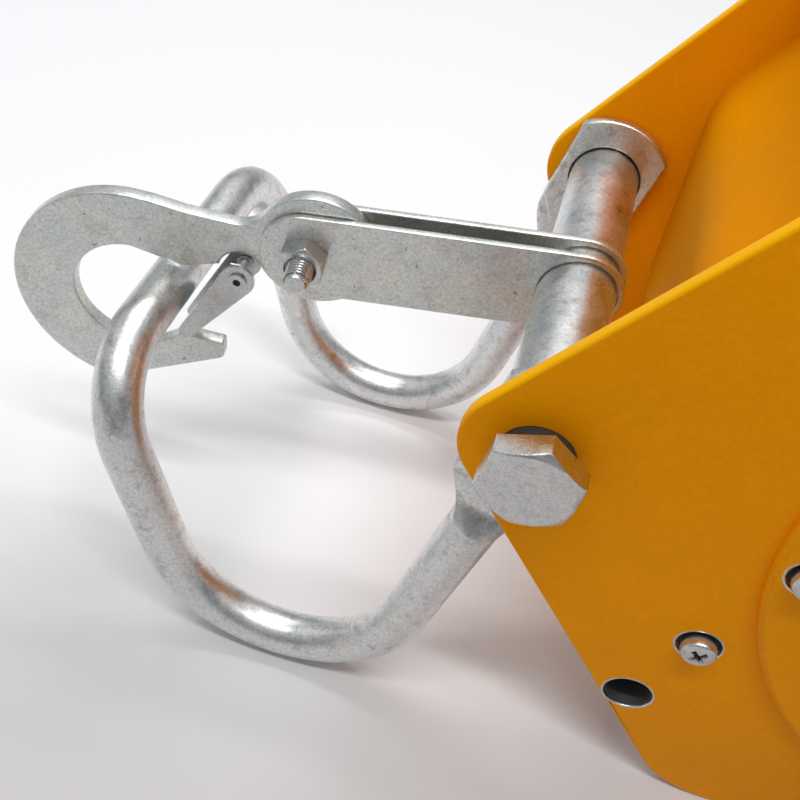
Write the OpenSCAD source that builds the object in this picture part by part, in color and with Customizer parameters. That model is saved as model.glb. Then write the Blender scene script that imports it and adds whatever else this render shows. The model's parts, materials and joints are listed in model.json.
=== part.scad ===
// Hand lever come along winch: two side plates carry a rope drum, a ratchet lever, and at the nose
// a bent rod bail with a latched hook on a link. X runs along the winch, Y across it, Z up.

/* [Frame] */
// Width over the two side plates
frame_w = 142; // [130:1:170]
// Thickness of a side plate
plate_t = 4; // [3:0.5:6]
// Height of the anchor bolt and the drum axle above the floor
axis_h = 132; // [128:0.5:150]
// Distance from the anchor bolt to the covers' rims
cover_gap = 61.6; // [60:0.2:70]
// Radius of the plates' nose round the anchor bolt
nose_r = 20; // [18:0.5:22]
// Slope of the nose's two edges to the winch's axis
nose_slope = 53.9; // [52:0.1:56]
// Corner radius where the nose's edges meet the flat top and bottom
plate_corner_r = 30; // [20:1:40]
// Corner radius at the plates' rope end
plate_end_r = 60; // [45:1:70]
// Plate left round the cover at the rope end
plate_end_margin = 12; // [8:1:30]

/* [Anchor] */
// Diameter of the anchor bolt
anchor_d = 16; // [14:0.5:16]
// Width over the flats of the anchor bolt's head and nut
anchor_flats = 24; // [22:0.5:27]
// Height of the anchor bolt's head
anchor_head_h = 7.4; // [6:0.1:10]
// Height of the anchor bolt's nut
anchor_nut_h = 13; // [10:0.5:16]
// Turn of the bolt's head about its axis
anchor_head_turn = 20.3; // [0:0.1:60]
// Outer diameter of the spacer tube on the bolt
tube_d = 23; // [22:0.1:23.4]
// Outer diameter of the dark bushes in the plates
anchor_bush_d = 19.6; // [19:0.1:22]
// How far the dark bushes stand out of the plates
anchor_bush_out = 5; // [3:0.5:8]

/* [Bail] */
// Diameter of the bail's rod
rod_d = 15; // [14:0.1:15.2]
// Radius of the bend at the bottom of each arm
arm_bend_r = 41.6; // [38:0.2:44]
// Distance of that bend's centre in front of the bolt
arm_bend_x = 63.3; // [60:0.1:66]
// Distance of the cross bar in front of the bolt
bar_x = 121.9; // [121.5:0.1:122.5]
// Drop of the cross bar below the bolt
bar_drop = 28.3; // [28:0.1:29]
// Radius of the two corners of the cross bar
bar_bend_r = 27.7; // [20:0.1:30]
// Distance of the arms' axes from the plates' inner faces
arm_inset = 3; // [3:0.1:4]
// Thickness of the flattened eyes
eye_t = 4; // [3:0.5:5]
// Radius of an eye's round end
eye_r = 21.2; // [20:0.1:23]
// Width of an eye across its flats
eye_w = 31; // [29:0.5:36]
// Distance from the bolt at which an eye has become round rod
eye_len = 38; // [36:0.5:44]

/* [Link and hook] */
// Distance between the link's two holes
link_len = 80.7; // [80.4:0.1:81]
// Width of the link bars
link_w = 27.4; // [26.6:0.1:30]
// Thickness of a link bar
link_t = 2.4; // [2:0.1:2.8]
// Drop of the link's hook end, in degrees below level
link_drop = 3.3; // [3:0.1:3.6]
// Place of the link on the tube, from its middle towards the back
link_y = 1.2; // [0:0.1:2]
// Turn of the loose link and its hook about the upright, in degrees
link_turn = 8; // [7.5:0.1:8.5]
// Diameter of the hook's bolt
hook_bolt_d = 8; // [6:0.5:9]
// Thickness of the hook
hook_t = 5; // [4.5:0.1:5.5]
// Radius of the hook's head round its bolt
hook_head_r = 18.4; // [17.5:0.1:19]
// Outer radius of the hook's bowl
hook_out_r = 38.2; // [37.8:0.1:38.6]
// Inner radius of the hook's bowl
hook_in_r = 19.1; // [18:0.1:19.4]
// Length of the latch from its rivet to its end
latch_len = 29; // [27:0.5:30]
// Thickness of the latch's sheet
latch_t = 1.2; // [0.8:0.1:1.6]
// Wire diameter of the latch's spring
latch_wire_d = 0.9; // [0.6:0.1:1]

/* [Guard, posts and screws] */
// Gap between the anchor bolt's axis and the guard's front wall
guard_x = 25.5; // [25:0.1:30]
// Thickness of the guard's sheet
guard_t = 2.5; // [1.5:0.5:4]
// Inset of the guard from the nose's edges
guard_inset = 18.6; // [16:0.1:22]
// Radius of the guard's two bends
guard_bend_r = 25; // [20:0.5:30]
// Length of the guard along the winch, from the bolt's axis
guard_end_x = 64; // [56:0.5:68]
// Place of a guard screw along the winch
guard_screw_x = 58.5; // [56:0.5:60]
// Distance of a guard screw above or below the axis
guard_screw_z = 53.7; // [50:0.1:57]
// Distance of a nose tube's axis from the nose's edge
nose_tube_edge = 8.1; // [8:0.1:9]
// Distance of a nose tube's axis from the anchor bolt, along the nose's edge
nose_tube_along = 98.1; // [94:0.1:102]
// Outer diameter of the nose tubes
nose_tube_d = 17.8; // [16.4:0.1:18]
// Bore of the nose tubes and of the plates' holes in front of them
nose_bore_d = 14.4; // [12:0.1:14.8]
// Distance of the rope end's posts beyond the drum axle
end_post_x = 91; // [86:0.5:95]
// Distance of the rope end's posts above or below the axis
end_post_z = 96; // [90:0.5:98]
// Diameter of a tie post
post_d = 17; // [14:0.5:18]
// Diameter of the screw holes in plates and covers
hole_d = 12.4; // [12:0.1:13.4]
// Diameter of the screws
screw_d = 5; // [4:0.5:6]
// Diameter of the screws' heads
screw_head_d = 10; // [8:0.5:11]
// Height of the screws' heads
screw_head_h = 3.9; // [2.5:0.1:4.5]
// Depth of the groove in the dark bushes round the screws' heads
bush_sink = 1.5; // [0.5:0.1:2]

/* [Covers] */
// Radius of the round covers
cover_r = 108; // [100:0.5:114]
// Thickness of the covers
cover_t = 3; // [2:0.5:5]
// Radius of the rounded rim
cover_rim_r = 2; // [1:0.1:2]
// Distance of the cover screws from the rim
cover_screw_inset = 9.6; // [9:0.1:10]
// Number of screws in a cover
cover_screws_n = 8; // [6:2:12]
// Angle of the first cover screw
cover_screw_turn = 186.6; // [180:0.1:195]
// Width of the plates' ring behind a cover's rim
cover_seat = 18; // [16.5:0.5:20]
// Radius of the bearing boss on a cover
boss_r = 28; // [24:0.5:32]
// Height of the bearing boss
boss_h = 8; // [5:0.5:12]

/* [Drum] */
// Diameter of the drum's axle
axle_d = 30; // [24:0.5:32]
// Running gap round the axle
axle_gap = 0.1; // [0.05:0.01:0.1]
// Outer diameter of the bronze bushes
axle_bush_d = 38; // [36:0.5:42]
// Radius of the drum's core
core_r = 45; // [40:0.5:50]
// Wall of the drum's core
core_wall = 6; // [4:0.5:10]
// Gap between the flanges' rims and the plates' openings
flange_rim_gap = 3; // [2:0.5:5]
// Thickness of the flanges
flange_t = 5; // [3:0.5:7]
// Gap between a flange and its side plate
flange_gap = 6; // [5:0.5:12]
// Diameter of the rope's hole in the clamp
rope_d = 8; // [5:0.5:9]

/* [Ratchet] */
// Number of ratchet teeth
teeth = 24; // [24:1:24]
// Outer radius of the ratchet wheel
ratchet_r = 52; // [51:0.5:53]
// Depth of the ratchet's teeth
tooth_h = 7; // [6:0.5:7]
// Thickness of the ratchet wheel
ratchet_t = 12; // [10:0.5:14]
// Reach of a pawl from its pivot to its tip, along the wheel
pawl_reach = 36; // [34:0.5:38]
// Height of a pawl's pivot above the teeth's root
pawl_lift = 3.5; // [3:0.1:4]
// Radius of a pawl's boss
pawl_boss_r = 7; // [6.5:0.1:7.4]
// Diameter of the pawls' pins
pawl_pin_d = 7; // [6:0.5:8]
// Turn of a pawl from its lifted place into the teeth
pawl_turn = 18; // [16:0.5:20]
// Angle of the holding pawl's tip on the wheel when it is in the teeth
hold_angle = 255; // [240:15:270]
// Thickness of the driving pawl
drive_pawl_t = 8; // [6:0.5:9]
// Wire diameter of the pawls' springs
pawl_wire_d = 1.2; // [0.8:0.1:1.2]

/* [Lever] */
// Length of the lever from the axle to the end of its grip
lever_len = 390; // [340:5:500]
// Thickness of a lever cheek
cheek_t = 5; // [4:0.5:6]
// Radius of the cheeks round the axle
cheek_hub_r = 30; // [26:0.5:34]
// Radius of the cheeks' outer end
cheek_end_r = 16; // [14:0.5:18]
// Length of the cheeks between the two round ends
cheek_len = 150; // [140:1:170]
// Diameter of the lever's tube
lever_tube_d = 26; // [22:0.5:30]
// Wall of the lever's tube
lever_wall = 3; // [2:0.5:4]
// Diameter of the lever's bolts
lever_bolt_d = 10; // [8:0.5:12]
// Length of the grip
grip_len = 125; // [100:1:150]
// Thickness of the grip's rubber
grip_wall = 4; // [3:0.5:6]
// Number of grooves round the grip
grip_grooves = 9; // [5:1:12]

/* [Hidden] */

$fn = 64;
paint = [0.86, 0.56, 0.05];
zinc = [0.74, 0.74, 0.72];
black = [0.09, 0.09, 0.1];
bronze = [0.7, 0.52, 0.26];
steel = [0.36, 0.36, 0.38];

// Clearances and small sizes shared by several pieces; a belt's circles end just under its straight runs
belt_step = 0.02;
fit_gap = 0.3;
loose_gap = 0.5;
cut = 1;
bolt_chamfer = 1;

// Places across the winch
out_y = frame_w / 2;
in_y = out_y - plate_t;
cover_y = out_y + cover_t;
boss_y = cover_y + boss_h;
arm_y = in_y - arm_inset;
eye_y = in_y - loose_gap;
head_y = out_y + anchor_bush_out;

// Outline of a side plate: each entry is a round corner, its centre and its radius
plate_h = axis_h;
drum_x = cover_gap + cover_r;
cover_screw_r = cover_r - cover_screw_inset;
opening_r = cover_r - cover_seat;
edge_normal = [-sin(nose_slope), cos(nose_slope)];
corner_z = plate_h - plate_corner_r;
corner_x = (plate_corner_r - nose_r + edge_normal.y * corner_z) / -edge_normal.x;
end_x = drum_x + cover_r + plate_end_margin;
plate_corners = [
    [[0, 0], nose_r],
    [[corner_x, -corner_z], plate_corner_r],
    [[end_x - plate_end_r, plate_end_r - plate_h], plate_end_r],
    [[end_x - plate_end_r, plate_h - plate_end_r], plate_end_r],
    [[corner_x, corner_z], plate_corner_r]
];

// Bail: the bend's centre and the points where the straight runs meet it
rod_r = rod_d / 2;
straight_r = rod_r - 0.05;
lap = 0.5;
arm_bend = [-arm_bend_x, rod_r + arm_bend_r - axis_h];
bar = [-bar_x, -bar_drop];
arm_top = tangent_point([0, 0], arm_bend, arm_bend_r, 1);
arm_low = tangent_point(bar, arm_bend, arm_bend_r, -1);
arm_dir = unit(arm_top);
rise_dir = unit(bar - arm_low);
rise_end = bar - bar_bend_r * rise_dir;
eye_bore_r = tube_d / 2 + loose_gap;
eye_taper = 18;
eye_neck_r = 1.9;
eye_neck_at = 26.2;
eye_neck_end = eye_len - 4;
eye_neck_w = rod_d - 3;

// Link and hook
link_gap = hook_t + 2 * fit_gap;
link_dir = [-cos(link_drop), -sin(link_drop)];
hook_pin = link_len * link_dir;
hook_y = -hook_t / 2;
hook_nut_flats = 1.625 * hook_bolt_d;
hook_nut_h = 0.8 * hook_bolt_d;
hook_bolt_out = 6.1;
bowl_out = [-54, -30.1];
bowl_in = [-53.6, -29.2];
bowl_step = 2;
bowl_cut = [4.3, hook_in_r - 1.2];
hook_head = [2.6, 0.4];
tip_slope = 25.2;
tip_line = 29.7;
shank_h = 5.1;
neck_r = 10;
neck_steps = 7;
neck_rise = shank_h + neck_r - hook_head.y;
neck_c = hook_head + [-sqrt(pow(hook_head_r + neck_r - belt_step, 2) - pow(neck_rise, 2)), neck_rise];
neck_turn = atan2(hook_head.x - neck_c.x, neck_rise);
neck = [for (i = [0:neck_steps]) let (a = i * neck_turn / neck_steps) neck_c + neck_r * [sin(a), -cos(a)]];
shank_top = concat([[-56, 7.9], [-47.5, 7.75], [-37, 6.1]], neck);
shank_low = [[-37.8, -13.8], [-17.2, -8]];
tip_nib = [[-24.6, -42.6], [-32, -42.1], [-38.5, -41.4]];
latch_pin = [-19.4, -12];
lug_r = 7;
latch_head_r = 5.2;
latch_tip_r = 2.4;
latch_dir = unit([-16.2, -24]);
latch_front_gap = 3.3;
web_start = 9;
web_end = 28;
rivet_r = 2.2;
rivet_bore_r = 1.2;
rivet_head_r = 2.8;
rivet_head_t = 0.8;

// Guard: centres of its two bends and of the far ends that its wings point to
guard_line = nose_r - guard_inset - guard_bend_r;
guard_far_x = 120;
guard_bends = [
    for (p = [[guard_x + guard_bend_r, -1], [guard_far_x, -1], [guard_far_x, 1], [guard_x + guard_bend_r, 1]])
        [p[0], p[1] * (guard_line - edge_normal.x * p[0]) / edge_normal.y]
];
ear_r = 11;
guard_nut_flats = 1.6 * screw_d;
guard_nut_h = 0.8 * screw_d;
guard_screws = [for (s = [-1, 1]) [guard_screw_x, s * guard_screw_z]];
posts = [for (s = [-1, 1]) [drum_x + end_post_x, s * end_post_z]];
nose_tube = (nose_r - nose_tube_edge) * edge_normal + nose_tube_along * [edge_normal.y, -edge_normal.x];
nose_tube_places = [for (s = [-1, 1]) [nose_tube.x, s * nose_tube.y]];
screw_places = concat(guard_screws, posts);
screw_len = 16;
seat_out = 0.2;
seat_r = 4.4;
cover_screw_len = plate_t + cover_t;
cross_w = 1.5;
cross_len = 5.4;
cross_depth = 1.8;

// Drum and axle
axle_r = axle_d / 2;
flange_y = in_y - flange_gap;
core_y = flange_y - flange_t;
flange_r = opening_r - flange_rim_gap;
collar_r = axle_r + 7;
collar_h = 8;
axle_nut_flats = 36;
axle_nut_h = 11;
axle_thread_r = axle_r - 3;
rope_r = rope_d / 2;
clamp_len = 26;
clamp_w = 20;
clamp_y = core_y - clamp_w / 2;
clamp_top = core_r + rope_d + 4.5;
rope_z = core_r + rope_r + 1.2;
clamp_screw_d = 4;
clamp_screw_head_r = 3.4;
clamp_screw_head_h = 3;
clamp_screw_at = rope_r + clamp_screw_d / 2 + 0.6;

// Ratchet and lever, from the cover's boss outwards
root_r = ratchet_r - tooth_h;
pitch = 360 / teeth;
cheek_y = boss_y + 1;
ratchet_y = cheek_y + cheek_t + loose_gap;
outer_cheek_y = ratchet_y + ratchet_t + loose_gap;
axle_shoulder_y = outer_cheek_y + cheek_t + loose_gap;
axle_end_y = axle_shoulder_y + axle_nut_h + 3;
pawl_pivot_r = norm([root_r + pawl_lift, pawl_reach]);
pawl_lead = atan2(pawl_reach, root_r + pawl_lift);
tooth_gap = 0.6;
tooth_face_gap = 1.1;
pawl_tip_h = 8;
pawl_pin_r = pawl_pin_d / 2;
hold_pawl_t = ratchet_t - 2 * loose_gap;
hold_pivot = drum_at(pawl_pivot_r, hold_angle - pawl_lead);
hold_pin_base_r = 8.5;
hold_pin_head_t = 3;
hold_spring_turns = 3.5;
drive_spring_turns = 1.25;
drive_angle = pitch * round(pawl_lead / pitch);
drive_pivot = drum_at(pawl_pivot_r, drive_angle - pawl_lead);
drive_pawl_y = ratchet_y + ratchet_t - drive_pawl_t;
stop_r = 5;
stop_at = cover_r - 14;
stop_root_r = 4;
cheek_taper = (cheek_hub_r - cheek_end_r) / cheek_len;
stop_drop = (cheek_hub_r + stop_r + fit_gap - cheek_taper * stop_at) / sqrt(1 - cheek_taper * cheek_taper);
tongue_t = outer_cheek_y - cheek_y - cheek_t;
tongue_start = 108;
tongue_end = 185;
lever_mid_y = -(cheek_y + cheek_t + tongue_t / 2);
lever_bolts_at = [tongue_start + 14, cheek_len];
lever_bolt_flats = 1.6 * lever_bolt_d;
lever_bolt_head_h = 0.64 * lever_bolt_d;
lever_tube_start = cheek_len + cheek_end_r + 4;
grip_r = lever_tube_d / 2 + grip_wall;
groove_r = 1.6;
grip_pitch = (grip_len - 30) / grip_grooves;
coil_steps = 8;
coil_sides = 6;

// The middle of the whole winch, seen from above, comes to the origin
hook_left = (hook_pin.x + bowl_out.x - hook_out_r) * cos(link_turn) + hook_y * sin(link_turn);
shift_x = -(hook_left + drum_x + lever_len) / 2;
back_y = max(boss_y + loose_gap + collar_h, head_y + anchor_nut_h + 3 * bolt_chamfer);
shift_y = (axle_end_y - back_y) / 2;

echo(least_spring_gap = min(
    coil_gap(pawl_coil_r(), pawl_wire_d, pawl_pitch(), hold_spring_turns),
    coil_gap(pawl_coil_r(), pawl_wire_d, pawl_pitch(), drive_spring_turns),
    coil_gap(latch_coil_r(), latch_wire_d, latch_pitch(), latch_turns())
));

function unit(v) = v / norm(v);
function drum_at(r, a) = [drum_x + r * cos(a), r * sin(a)];
// Where a line from p touches a circle, on its left (1) or right (-1) side
function tangent_point(p, c, r, side) =
    let (d = c - p, a = atan2(d.y, d.x) + side * asin(r / norm(d)))
    p + sqrt(d * d - r * r) * [cos(a), sin(a)];
// Outer tangent of two round corners, taken anticlockwise: its two touching points
function belt_run(a, b) =
    let (
        d = unit(b[0] - a[0]),
        s = (a[1] - b[1]) / norm(b[0] - a[0]),
        n = s * d + sqrt(1 - s * s) * [d.y, -d.x]
    )
    [a[0] + a[1] * n, b[0] + b[1] * n];
function pawl_coil_r() = pawl_pin_r + loose_gap + pawl_wire_d / 2;
function pawl_pitch() = pawl_wire_d + loose_gap;
function latch_coil_r() = rivet_r + fit_gap + latch_wire_d / 2;
function latch_pitch() = latch_wire_d + loose_gap;
function latch_turns() = 1.25;
function coil_point(r, p, a) = [r * cos(a), p * a / 360, r * sin(a)];
function coil_tangent(r, p, a) = unit([-r * sin(a), p / (2 * PI), r * cos(a)]);
function coil_angles(turns) = [for (i = [0:round(turns * coil_steps)]) i * 360 / coil_steps];
// Least gap between points of a coil that are half a turn or more apart
function coil_gap(r, wire, p, turns) =
    let (a = coil_angles(turns))
    min([
        for (i = [0:len(a) - 1]) for (j = [i + coil_steps / 2:1:len(a) - 1])
            norm(coil_point(r, p, a[i]) - coil_point(r, p, a[j]))
    ]) - wire;

// Moves the finished winch so that it stands on the floor with its middle at the origin
module place() {
    translate([shift_x, shift_y, axis_h]) children();
}

// A flat outline in X and Z, given thickness from y0 towards the back
module slab(y0, t) {
    translate([0, y0 + t, 0]) rotate([90, 0, 0]) linear_extrude(height = t) children();
}

// The same outline at the front and, mirrored, at the back
module both_sides() {
    children();
    mirror([0, 1, 0]) children();
}

// A round bar across the winch
module bar_y(p, r, y0, y1) {
    translate([p.x, y0, p.y]) rotate([-90, 0, 0]) cylinder(r = r, h = y1 - y0);
}

// A hexagon across the winch
module hex_y(p, flats, turn, y0, y1) {
    translate([p.x, y0, p.y]) rotate([-90, turn, 0]) cylinder(d = flats / cos(30), h = y1 - y0, $fn = 6);
}

// A round bar between two points of one arm's plane
module bar_xz(a, b, r) {
    translate([a.x, 0, a.y]) rotate([0, atan2(b.x - a.x, b.y - a.y), 0]) cylinder(r = r, h = norm(b - a));
}

// A round bend about Z, from angle a0 to a1
module bend(r, a0, a1) {
    rotate([0, 0, a0]) rotate_extrude(angle = a1 - a0) translate([r, 0]) circle(r = rod_r);
}

// Convex outline round a list of circles, taken anticlockwise
module belt(circles) {
    n = len(circles);
    polygon([for (i = [0:n - 1]) each belt_run(circles[i], circles[(i + 1) % n])]);
    for (c = circles) translate(c[0]) circle(r = c[1] - belt_step);
}

// An unbroken wire: a straight leg, a coil about Y and a second leg
module coil(r, wire, p, turns, leg) {
    angles = coil_angles(turns);
    last = angles[len(angles) - 1];
    points = concat(
        [coil_point(r, p, 0) - leg * coil_tangent(r, p, 0)],
        [for (a = angles) coil_point(r, p, a)],
        [coil_point(r, p, last) + leg * coil_tangent(r, p, last)]
    );
    at = concat([0], angles, [last]);
    rings = [
        for (i = [0:len(points) - 1])
            let (out = [cos(at[i]), 0, sin(at[i])], side = cross(coil_tangent(r, p, at[i]), out))
            for (k = [0:coil_sides - 1])
                points[i] + wire / 2 * (cos(k * 360 / coil_sides) * out + sin(k * 360 / coil_sides) * side)
    ];
    end = len(rings) - coil_sides;
    walls = [
        for (i = [0:len(points) - 2]) for (k = [0:coil_sides - 1])
            let (a = i * coil_sides + k, b = i * coil_sides + (k + 1) % coil_sides)
            each [[a, b, a + coil_sides], [b, b + coil_sides, a + coil_sides]]
    ];
    caps = [
        for (k = [1:coil_sides - 2]) each [[0, k + 1, k], [end, end + k, end + k + 1]]
    ];
    polyhedron(points = rings, faces = [for (f = concat(walls, caps)) [f[2], f[1], f[0]]]);
}

// One side plate's outline with its holes
module plate_2d() {
    difference() {
        belt(plate_corners);
        circle(d = anchor_bush_d);
        for (p = screw_places) translate(p) circle(d = hole_d);
        for (p = nose_tube_places) translate(p) circle(d = nose_bore_d);
        translate([drum_x, 0]) circle(r = opening_r);
        for (i = [0:cover_screws_n - 1])
            translate(drum_at(cover_screw_r, cover_screw_turn + i * 360 / cover_screws_n)) circle(d = screw_d);
    }
}

module front_plate() {
    color(paint) place() slab(-out_y, plate_t) plate_2d();
}

module rear_plate() {
    color(paint) place() slab(in_y, plate_t) plate_2d();
}

module anchor_bolt() {
    color(zinc) place() {
        intersection() {
            hex_y([0, 0], anchor_flats, anchor_head_turn, -head_y - anchor_head_h, -head_y);
            translate([0, -head_y - anchor_head_h, 0]) rotate([-90, 0, 0])
                cylinder(d1 = anchor_flats - bolt_chamfer, d2 = anchor_flats + 6 * anchor_head_h, h = anchor_head_h);
        }
        bar_y([0, 0], anchor_d / 2, -head_y, head_y + anchor_nut_h + bolt_chamfer);
        translate([0, head_y + anchor_nut_h + bolt_chamfer, 0]) rotate([-90, 0, 0])
            cylinder(r1 = anchor_d / 2, r2 = anchor_d / 2 - bolt_chamfer, h = 2 * bolt_chamfer);
    }
}

module anchor_nut() {
    color(zinc) place() difference() {
        hex_y([0, 0], anchor_flats, 0, head_y, head_y + anchor_nut_h);
        bar_y([0, 0], anchor_d / 2, head_y - cut, head_y + anchor_nut_h + cut);
    }
}

module anchor_tube() {
    color(zinc) place() difference() {
        bar_y([0, 0], tube_d / 2, -in_y, in_y);
        bar_y([0, 0], anchor_d / 2 + fit_gap, -in_y - cut, in_y + cut);
    }
}

module anchor_bushes() {
    color(black) place() both_sides() difference() {
        bar_y([0, 0], anchor_bush_d / 2, -head_y, -in_y);
        bar_y([0, 0], anchor_d / 2, -head_y - cut, -in_y + cut);
    }
}

// Bent sheet between the plates: front wall, two bends and two wings
module guard_2d() {
    intersection() {
        difference() {
            belt([for (i = [3, 0, 1, 2]) [guard_bends[i], guard_bend_r]]);
            belt([for (i = [3, 0, 1, 2]) [guard_bends[i], guard_bend_r - guard_t]]);
        }
        translate([0, -plate_h]) square([guard_end_x, 2 * plate_h]);
    }
}

// Ears that lie on the plates' inner faces and take the guard screws
module ears_2d() {
    reach = 2 * ear_r;
    difference() {
        intersection() {
            for (p = guard_screws) {
                side = sign(p.y);
                belt([
                    [p, ear_r],
                    [p + reach * [edge_normal.x, side * edge_normal.y], ear_r + 3]
                ]);
            }
            belt([for (i = [3, 0, 1, 2]) [guard_bends[i], guard_bend_r - guard_t / 2]]);
        }
        for (p = guard_screws) translate(p) circle(d = screw_d + 2 * fit_gap);
    }
}

module drum_guard() {
    color(paint) place() {
        slab(-in_y, 2 * in_y) guard_2d();
        both_sides() slab(-in_y, guard_t) ears_2d();
    }
}

module tie_posts() {
    color(zinc) place() for (p = posts) difference() {
        bar_y(p, post_d / 2, -in_y, in_y);
        both_sides() bar_y(p, screw_d / 2, -in_y - cut, screw_len + cut - in_y);
    }
}

module nose_tubes() {
    color(paint) place() for (p = nose_tube_places) difference() {
        bar_y(p, nose_tube_d / 2, -in_y, in_y);
        bar_y(p, nose_bore_d / 2, -in_y - cut, in_y + cut);
    }
}

// A pan head screw that points to the back, its head's seat at y
module pan_screw(p, y, length) {
    dome = 1.2;
    difference() {
        union() {
            bar_y(p, screw_d / 2, y - cut, y + length);
            bar_y(p, screw_head_d / 2, dome - screw_head_h + y, y);
            translate([p.x, y - screw_head_h + dome, p.y]) rotate([90, 0, 0])
                cylinder(d1 = screw_head_d, d2 = screw_head_d - 2 * dome, h = dome);
        }
        for (a = [45, 135])
            translate([p.x, y - screw_head_h, p.y]) rotate([0, a, 0])
                cube([cross_len, 2 * cross_depth, cross_w], center = true);
    }
}

// A dark bush in a screw hole, from the sheet's inner face to the head's seat, with a groove round the seat
module screw_bush(p, y, length) {
    difference() {
        union() {
            bar_y(p, hole_d / 2, y + bush_sink, y + length);
            bar_y(p, seat_r, y - seat_out, y + length);
        }
        bar_y(p, screw_d / 2, y - cut, y + length + cut);
    }
}

module frame_screws() {
    color(zinc) place() both_sides() for (p = screw_places) pan_screw(p, -out_y - seat_out, screw_len);
}

module frame_bushes() {
    color(black) place() both_sides()
        for (p = screw_places) screw_bush(p, -out_y, plate_t);
}

module guard_nuts() {
    color(zinc) place() both_sides() for (p = guard_screws) difference() {
        hex_y(p, guard_nut_flats, 0, guard_t - in_y, guard_t + guard_nut_h - in_y);
        bar_y(p, screw_d / 2, -in_y, 2 * guard_nut_h - in_y);
    }
}

// A round cover with a rounded rim and a bearing boss, as seen from the front
module cover() {
    difference() {
        translate([drum_x, -out_y, 0]) rotate([90, 0, 0]) rotate_extrude() {
            square([cover_r - cover_rim_r, cover_t]);
            square([cover_r, cover_t - cover_rim_r]);
            intersection() {
                translate([cover_r - cover_rim_r, cover_t - cover_rim_r]) circle(r = cover_rim_r);
                square([cover_r, cover_t]);
            }
            square([boss_r, cover_t + boss_h]);
        }
        bar_y([drum_x, 0], axle_bush_d / 2, -boss_y - cut, -out_y + cut);
        for (i = [0:cover_screws_n - 1])
            bar_y(cover_screw(i), hole_d / 2, -cover_y - cut, -out_y + cut);
        children();
    }
}

function cover_screw(i) = drum_at(cover_screw_r, cover_screw_turn + i * 360 / cover_screws_n);

module front_cover() {
    color(paint) place() cover() {
        bar_y(hold_pivot, pawl_pin_r, -cover_y - cut, -out_y + cut);
        bar_y([drum_x + stop_at, -stop_drop], stop_root_r, -cover_y - cut, -out_y + cut);
    }
}

module rear_cover() {
    color(paint) place() mirror([0, 1, 0]) cover();
}

module cover_screws() {
    color(zinc) place() both_sides() for (i = [0:cover_screws_n - 1])
        pan_screw(cover_screw(i), -cover_y - seat_out, cover_screw_len);
}

module cover_bushes() {
    color(black) place() both_sides() for (i = [0:cover_screws_n - 1])
        screw_bush(cover_screw(i), -cover_y, cover_t);
}

module axle_bushes() {
    color(bronze) place() both_sides() difference() {
        bar_y([drum_x, 0], axle_bush_d / 2, -boss_y, -out_y);
        bar_y([drum_x, 0], axle_r + axle_gap, -boss_y - cut, -out_y + cut);
    }
}

// Flattened eye of the bail, seen along the bolt, with its taper to the rod
module eye_2d() {
    difference() {
        rotate(atan2(arm_dir.y, arm_dir.x)) {
            intersection() {
                circle(r = eye_r);
                square([2 * eye_r, eye_w], center = true);
            }
            polygon([
                [0, -eye_w / 2], [eye_len - eye_taper, -eye_w / 2], [eye_len, -eye_neck_w / 2],
                [eye_len, eye_neck_w / 2], [eye_len - eye_taper, eye_w / 2], [0, eye_w / 2]
            ]);
        }
        circle(r = eye_bore_r);
    }
}

// One side of the bail: eye, arm, bottom bend, rise and the corner into the cross bar
module half_bail() {
    top_angle = atan2(arm_top.y - arm_bend.y, arm_top.x - arm_bend.x);
    low_angle = atan2(arm_low.y - arm_bend.y, arm_low.x - arm_bend.x);
    slab(-eye_y, eye_t) eye_2d();
    translate([0, -arm_y, 0]) {
        rotate([0, atan2(arm_dir.x, arm_dir.y), 0]) rotate_extrude() polygon([
            [0, eye_neck_at], [eye_neck_r, eye_neck_at], [straight_r, eye_neck_end],
            [straight_r, norm(arm_top) + lap], [0, norm(arm_top) + lap]
        ]);
        translate([arm_bend.x, 0, arm_bend.y]) rotate([90, 0, 0]) bend(arm_bend_r, low_angle, top_angle);
        bar_xz(arm_low - lap * rise_dir, rise_end + lap * rise_dir, straight_r);
        translate([rise_end.x, bar_bend_r, rise_end.y]) rotate([0, -atan2(rise_dir.y, rise_dir.x), 0])
            bend(bar_bend_r, -90, 0);
    }
}

module bail() {
    color(zinc) place() {
        both_sides() half_bail();
        bar_y(bar, straight_r, bar_bend_r - arm_y - lap, arm_y - bar_bend_r + lap);
    }
}

// The link and all it carries, standing askew on the tube
module on_link() {
    place() translate([0, link_y, 0]) rotate([0, 0, link_turn]) children();
}

// A link bar whose front face lies at y: round ends, a hole for the tube and one for the hook's bolt
module link_bar(y) {
    tube_at = [(y + link_t / 2) * tan(link_turn), 0];
    color(zinc) on_link() slab(y, link_t) difference() {
        belt([[tube_at, link_w / 2], [hook_pin, link_w / 2]]);
        translate(tube_at) circle(r = eye_bore_r);
        translate(hook_pin) circle(r = hook_bolt_d / 2);
    }
}

module link_plate_front() {
    link_bar(-link_gap / 2 - link_t);
}

module link_plate_rear() {
    link_bar(link_gap / 2);
}

module hook_bolt() {
    front_y = -link_gap / 2 - link_t - hook_nut_h;
    back_y = link_gap / 2 + link_t;
    color(zinc) on_link() {
        bar_y(hook_pin, hook_bolt_d / 2, front_y - hook_bolt_out, back_y);
        translate([hook_pin.x, front_y - hook_bolt_out, hook_pin.y]) rotate([90, 0, 0])
            cylinder(d1 = hook_bolt_d, d2 = hook_bolt_d - 2 * bolt_chamfer, h = bolt_chamfer);
        hex_y(hook_pin, hook_nut_flats, 0, back_y, back_y + hook_nut_h);
    }
}

module hook_nut() {
    front_y = -link_gap / 2 - link_t;
    color(zinc) on_link() difference() {
        hex_y(hook_pin, hook_nut_flats, 0, front_y - hook_nut_h, front_y);
        bar_y(hook_pin, hook_bolt_d / 2, front_y - hook_nut_h - cut, front_y + cut);
    }
}

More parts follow.
